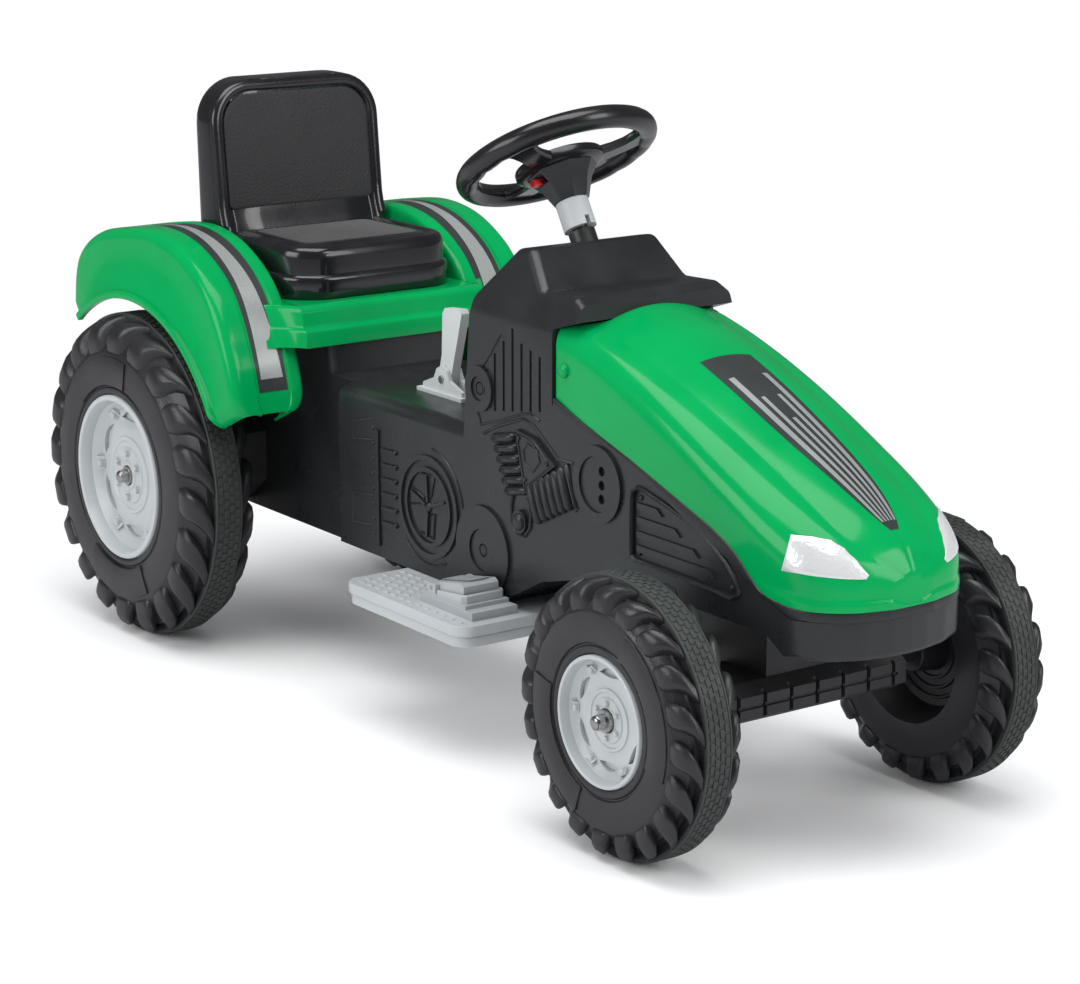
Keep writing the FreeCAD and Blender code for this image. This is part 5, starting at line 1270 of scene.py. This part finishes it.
def back_panel():
    """Panel let into the back: large round corners above, tight ones below."""
    corners = ((0.0585, 0.546, 0.031, 0), (-0.0585, 0.546, 0.031, 90), (-0.0835, 0.4625, 0.006, 180),
               (0.0835, 0.4625, 0.006, 270))
    loops = []
    for grow, lift in ((0.0, -0.0012), (0.0, 0.0002), (-0.001, 0.0005), (-0.003, 0.0006)):
        loop = []
        for cy, cz, radius, start in corners:
            for turn in [math.radians(start + 15 * i) for i in range(7)]:
                y, z = cy + (radius + grow) * math.cos(turn), cz + (radius + grow) * math.sin(turn)
                loop.append(Vector((back_front(z) + lift, y, z)))
        loops.append(loop)
    return skin_over(loops, 40)


def back_bead():
    """Bead that runs up one side of the back, over its top and down the other."""
    line = [(SEAT_HALF - BEAD_INSET, 0.440 + 0.0106 * i, 1.0, 0.0) for i in range(10)]
    reach = SEAT_CORNER - BEAD_INSET
    for a in range(0, 91, 9):
        c, s = math.cos(math.radians(a)), math.sin(math.radians(a))
        line.append((SEAT_HALF - SEAT_CORNER + reach * c, SEAT_TOP - SEAT_CORNER + reach * s, c, s))
    line += [(-y, z, -c, s) for y, z, c, s in line[::-1]]
    section = ((0.0066, -0.005), (0.0064, -0.0008), (0.0048, 0.0014), (0.0018, 0.0024), (-0.0016, 0.0024),
               (-0.0044, 0.0013), (-0.0060, -0.0006), (-0.0062, -0.005))
    loops = [[Vector((back_front(z + s * u) + h, y + c * u, z + s * u)) for u, h in section]
             for y, z, c, s in line]
    return skin_over(loops, 50)


BEAD_INSET = 0.0068
PAN_PANEL = [(0.033, 0.4334), (0.033, 0.4344), (0.034, 0.4349), (0.036, 0.435)]
seat = joined([seat_base(), seat_back()])
fit(new_piece("seat_moulding", seat), "chassis", "seat_black", SEAT_BLACK, "seat")
pan_panel = skin_over([plan_loop(draw, z, 0.064) for draw, z in PAN_PANEL], 40)
fit(new_piece("pan_panel", pan_panel), "chassis", "seat_black", SEAT_PEBBLE)
fit(new_piece("back_panel", back_panel()), "chassis", "seat_black", SEAT_PEBBLE)
fit(new_piece("back_bead", back_bead()), "chassis", "seat_black", SEAT_BLACK)


# Footboard: two cool-grey half mouldings under the body, with rows of raised dashes for grip. The pedal
# housing, its hinged pedal and its switch are screwed on the right-hand side, with a wall round the pedal.
BOARD_GREY = moulded("board_grey", (0.42, 0.445, 0.46), 0.46, 650, 0.0002, dust=0.08)
PEDAL_GREY = moulded("pedal_grey", (0.36, 0.38, 0.395), 0.44, 650, 0.0002, dust=0.06)
soft_copy("board_top", "footboard_upper", "chassis", "pedal_grey", BOARD_GREY, 0.002)
soft_copy("board_under", "footboard_lower", "chassis", "pedal_grey", BOARD_GREY, 0.002)
soft_copy("pedal_base", "pedal_housing", "chassis", "pedal_grey", PEDAL_GREY, 0.0012)
soft_copy("pedal_tread", "accelerator_pedal", "pedal", "pedal_grey", PEDAL_GREY, 0.0014)
soft_copy("pedal_axis", "pedal_pin", "chassis", "steel", ZINC, 0.0004)
soft_copy("pedal_contact", "pedal_switch", "chassis", "button_black", SHAFT_BLACK, 0.0005)
BOARD_TOP = 0.140


def dash_mesh(long, wide, high):
    """Low oblong with cut corners and a domed top."""
    outline = ((-1, -0.5), (-0.8, -1), (0.8, -1), (1, -0.5), (1, 0.5), (0.8, 1), (-0.8, 1), (-1, 0.5))
    loops = []
    for share, z in ((1.0, -0.0006), (1.0, high * 0.4), (0.86, high * 0.9), (0.7, high)):
        loops.append([Vector((x * (long - wide * (1 - share)), y * wide * share, z)) for x, y in outline])
    return skin_over(loops, 45)


grips = []
for side in (-1, 1):
    for rank in range(6):
        start = (-0.028 + 0.007 * (rank % 2), side * (0.108 + 0.0105 * rank), BOARD_TOP)
        count = 6 if side < 0 and rank < 5 else 13
        grips.append(row_of(dash_mesh(0.0046, 0.0017, 0.0011), count, start, (0.0142, 0, 0), BOARD_GREY))
fit(new_piece("board_grips", joined(grips)), "chassis", "pedal_grey", BOARD_GREY)
PEDAL_WALL = [
    # inner (x, y), outer (x, y), height of the top, from the rear outside round the front to the rear inside
    ((0.0925, -0.1448), (0.0925, -0.1482), 0.1560), ((0.1320, -0.1448), (0.1340, -0.1482), 0.1602),
    ((0.1346, -0.1422), (0.1380, -0.1442), 0.1604), ((0.1346, -0.1058), (0.1380, -0.1038), 0.1604),
    ((0.1320, -0.1032), (0.1340, -0.0998), 0.1602), ((0.0925, -0.1032), (0.0925, -0.0998), 0.1560)]
PEDAL_WALL_FOOT = 0.1515
loops = []
for inner, outer, top in PEDAL_WALL:
    inner, outer = Vector((*inner, 0)), Vector((*outer, 0))
    section = ((0, PEDAL_WALL_FOOT), (0, top - 0.001), (0.25, top), (0.7, top), (1, top - 0.0012),
               (1, PEDAL_WALL_FOOT))
    loops.append([inner.lerp(outer, share) + UPWARD * z for share, z in section])
fit(new_piece("pedal_wall", skin_over(loops, 40)), "chassis", "pedal_grey", PEDAL_GREY)
slope = math.atan2(0.009, 0.048)
rib = dash_mesh(0.0016, 0.016, 0.0013)
rib.transform(Matrix.Rotation(-slope, 4, "Y"))
ribs = row_of(rib, 6, (0.086, -0.124, 0.1624), (0.0078, 0, 0.00146), PEDAL_GREY)
fit(new_piece("pedal_ribs", ribs), "pedal", "pedal_grey", PEDAL_GREY)


# Gear lever: a pale grey plastic lever, flat and a little waisted. It turns on a steel cross pin between the
# cheeks of a bracket that is screwed to the floor.
LEVER_GREY = moulded("lever_grey", (0.52, 0.545, 0.55), 0.4, 600, 0.00015)
soft_copy("lever_cheeks", "lever_bracket", "chassis", "trim_grey", LEVER_GREY, 0.0011)
soft_copy("lever_axis", "lever_pin", "chassis", "steel", ZINC, 0.0006)
soft_copy("lever_arm", "gear_lever", "lever", "trim_grey", LEVER_GREY, 0.0018)


# Drive and battery: a black gearbox with its motor and hub on the right of the rear body, and a
# sealed battery under a strap inside it.
GEAR_BLACK = moulded("gear_black", (0.02, 0.02, 0.021), 0.5, 500, 0.0003, dust=0.08)
BATTERY_GREY = moulded("battery_grey", (0.05, 0.052, 0.056), 0.45, 500, 0.0002)
soft_copy("gear_case", "gearbox", "chassis", "body_black", GEAR_BLACK, 0.0018)
soft_copy("drive_boss", "drive_hub", "rear_wheel_right", "trim_grey", GEAR_BLACK, 0.001)
soft_copy("motor_can", "drive_motor", "chassis", "steel", ZINC, 0.0012)
soft_copy("battery_block", "battery", "chassis", "battery_case", BATTERY_GREY, 0.002)
soft_copy("strap_band", "battery_strap", "chassis", "body_black", GEAR_BLACK, 0.0006)


# Screws: black steel with round heads. Two sit deep in the side bosses and one at the rear, to draw the body
# halves together, and one holds each rear corner of the hood under a small green snap-on cap.
soft_copy("body_bolts", "body_screws", "chassis", "steel", BLACK_STEEL, 0.0007)
soft_copy("hood_bolts", "hood_screws", "chassis", "steel", BLACK_STEEL, 0.0007)
SNAP_CAP_X, SNAP_CAP_Y, SNAP_CAP_Z = 0.222, 0.0928, 0.385
SNAP_CAP_RADIUS, SNAP_CAP_HEIGHT = 0.0068, 0.0044
for half, side in SIDES:
    outward = Matrix.Rotation(math.radians(-90 * side), 4, "X")
    snap_cap = dome_mesh(SNAP_CAP_RADIUS, SNAP_CAP_HEIGHT, outward, sides=28)
    snap_cap.transform(Matrix.Translation((SNAP_CAP_X, side * SNAP_CAP_Y, SNAP_CAP_Z)))
    fit(new_piece(f"screw_cap_{half}", snap_cap), "chassis", "hood_green", HOOD_GREEN)


# Floor, light and camera: a plain pale floor that fades to white, soft boxes round the object, and the
# camera at the photograph's place.
floor_mesh = bpy.data.meshes.new("floor")
bm = bmesh.new()
bmesh.ops.create_grid(bm, x_segments=1, y_segments=1, size=14)
bm.to_mesh(floor_mesh)
bm.free()
floor = new_piece("floor", floor_mesh)
paper = bpy.data.materials.new("floor_paper")
paper.use_nodes = True
sheet = paper.node_tree
new = sheet.nodes.new
matt = sheet.nodes["Principled BSDF"]
glow, where, ray = new("ShaderNodeEmission"), new("ShaderNodeTexCoord"), new("ShaderNodeLightPath")
far, fade, amount = new("ShaderNodeVectorMath"), new("ShaderNodeMapRange"), new("ShaderNodeMath")
far.operation = "LENGTH"
fade.interpolation_type = "SMOOTHSTEP"
amount.operation = "MULTIPLY"
# The floor's base colour is pale for most rays but darker grey for glossy rays: painted shade in the floor's
# reflections on the model.
reflection_shade, blend = new("ShaderNodeMix"), new("ShaderNodeMixShader")
reflection_shade.data_type = "RGBA"
set_inputs(matt, {"Roughness": 0.9, "Specular IOR Level": 0.1})
set_inputs(fade, {"From Min": 0.55, "From Max": 1.15})
set_inputs(reflection_shade, {"A": (0.95, 0.95, 0.95, 1), "B": (0.5, 0.5, 0.52, 1)})
wire(sheet, (ray, "Is Glossy Ray", reflection_shade, "Factor"), (reflection_shade, "Result", matt, "Base Color"),
     (where, "Object", far, 0), (far, "Value", fade, "Value"), (fade, "Result", amount, 0),
     (ray, "Is Camera Ray", amount, 1), (amount, 0, blend, "Fac"), (matt, "BSDF", blend, 1),
     (glow, "Emission", blend, 2), (blend, "Shader", sheet.nodes["Material Output"], "Surface"))
floor_mesh.materials.append(paper)

world = bpy.data.worlds.new("studio")
bpy.context.scene.world = world
world.use_nodes = True
sky = world.node_tree
new = sky.nodes.new
back, seen = sky.nodes["Background"], new("ShaderNodeBackground")
path, strength, choose = new("ShaderNodeLightPath"), new("ShaderNodeMapRange"), new("ShaderNodeMixShader")
set_inputs(back, {"Color": (0.95, 0.96, 0.98, 1)})
set_inputs(seen, {"Color": (1, 1, 1, 1), "Strength": 1.0})
set_inputs(strength, {"To Min": 0.72, "To Max": 0.1})
wire(sky, (path, "Is Glossy Ray", strength, "Value"), (strength, "Result", back, "Strength"),
     (path, "Is Camera Ray", choose, "Fac"), (back, "Background", choose, 1), (seen, "Background", choose, 2),
     (choose, "Shader", sky.nodes["World Output"], "Surface"))


def soft_box(name, place, target, size, power):
    light = bpy.data.lights.new(name, "AREA")
    light.shape = "RECTANGLE"
    light.size, light.size_y = size
    light.energy = power
    lamp = bpy.data.objects.new(name, light)
    lamp.location = place
    lamp.rotation_euler = (Vector(target) - Vector(place)).to_track_quat("-Z", "Y").to_euler()
    bpy.context.scene.collection.objects.link(lamp)


soft_box("overhead", (0.3, -0.4, 2.6), (0, 0, 0.3), (2.4, 1.6), 46)
soft_box("front_left", (2.4, 0.9, 1.5), (0.1, 0, 0.3), (1.0, 1.6), 24)
soft_box("right_side", (-0.3, -2.6, 1.3), (0, 0, 0.3), (1.8, 1.2), 26)

camera_data = bpy.data.cameras.new("camera")
camera_data.sensor_width = 36
camera_data.lens = 99.8
camera = bpy.data.objects.new("camera", camera_data)
look = Vector((-0.7886, 0.5646, -0.2436)).normalized()
right = Vector((0.5821, 0.8131, 0)).normalized()
up = right.cross(look)
turn = Matrix((right, up, -look)).transposed().to_4x4()
camera.matrix_world = Matrix.Translation((2.3839, -1.6676, 0.9428)) @ turn
bpy.context.scene.collection.objects.link(camera)
bpy.context.scene.camera = camera
bpy.context.scene.view_settings.view_transform = "Standard"
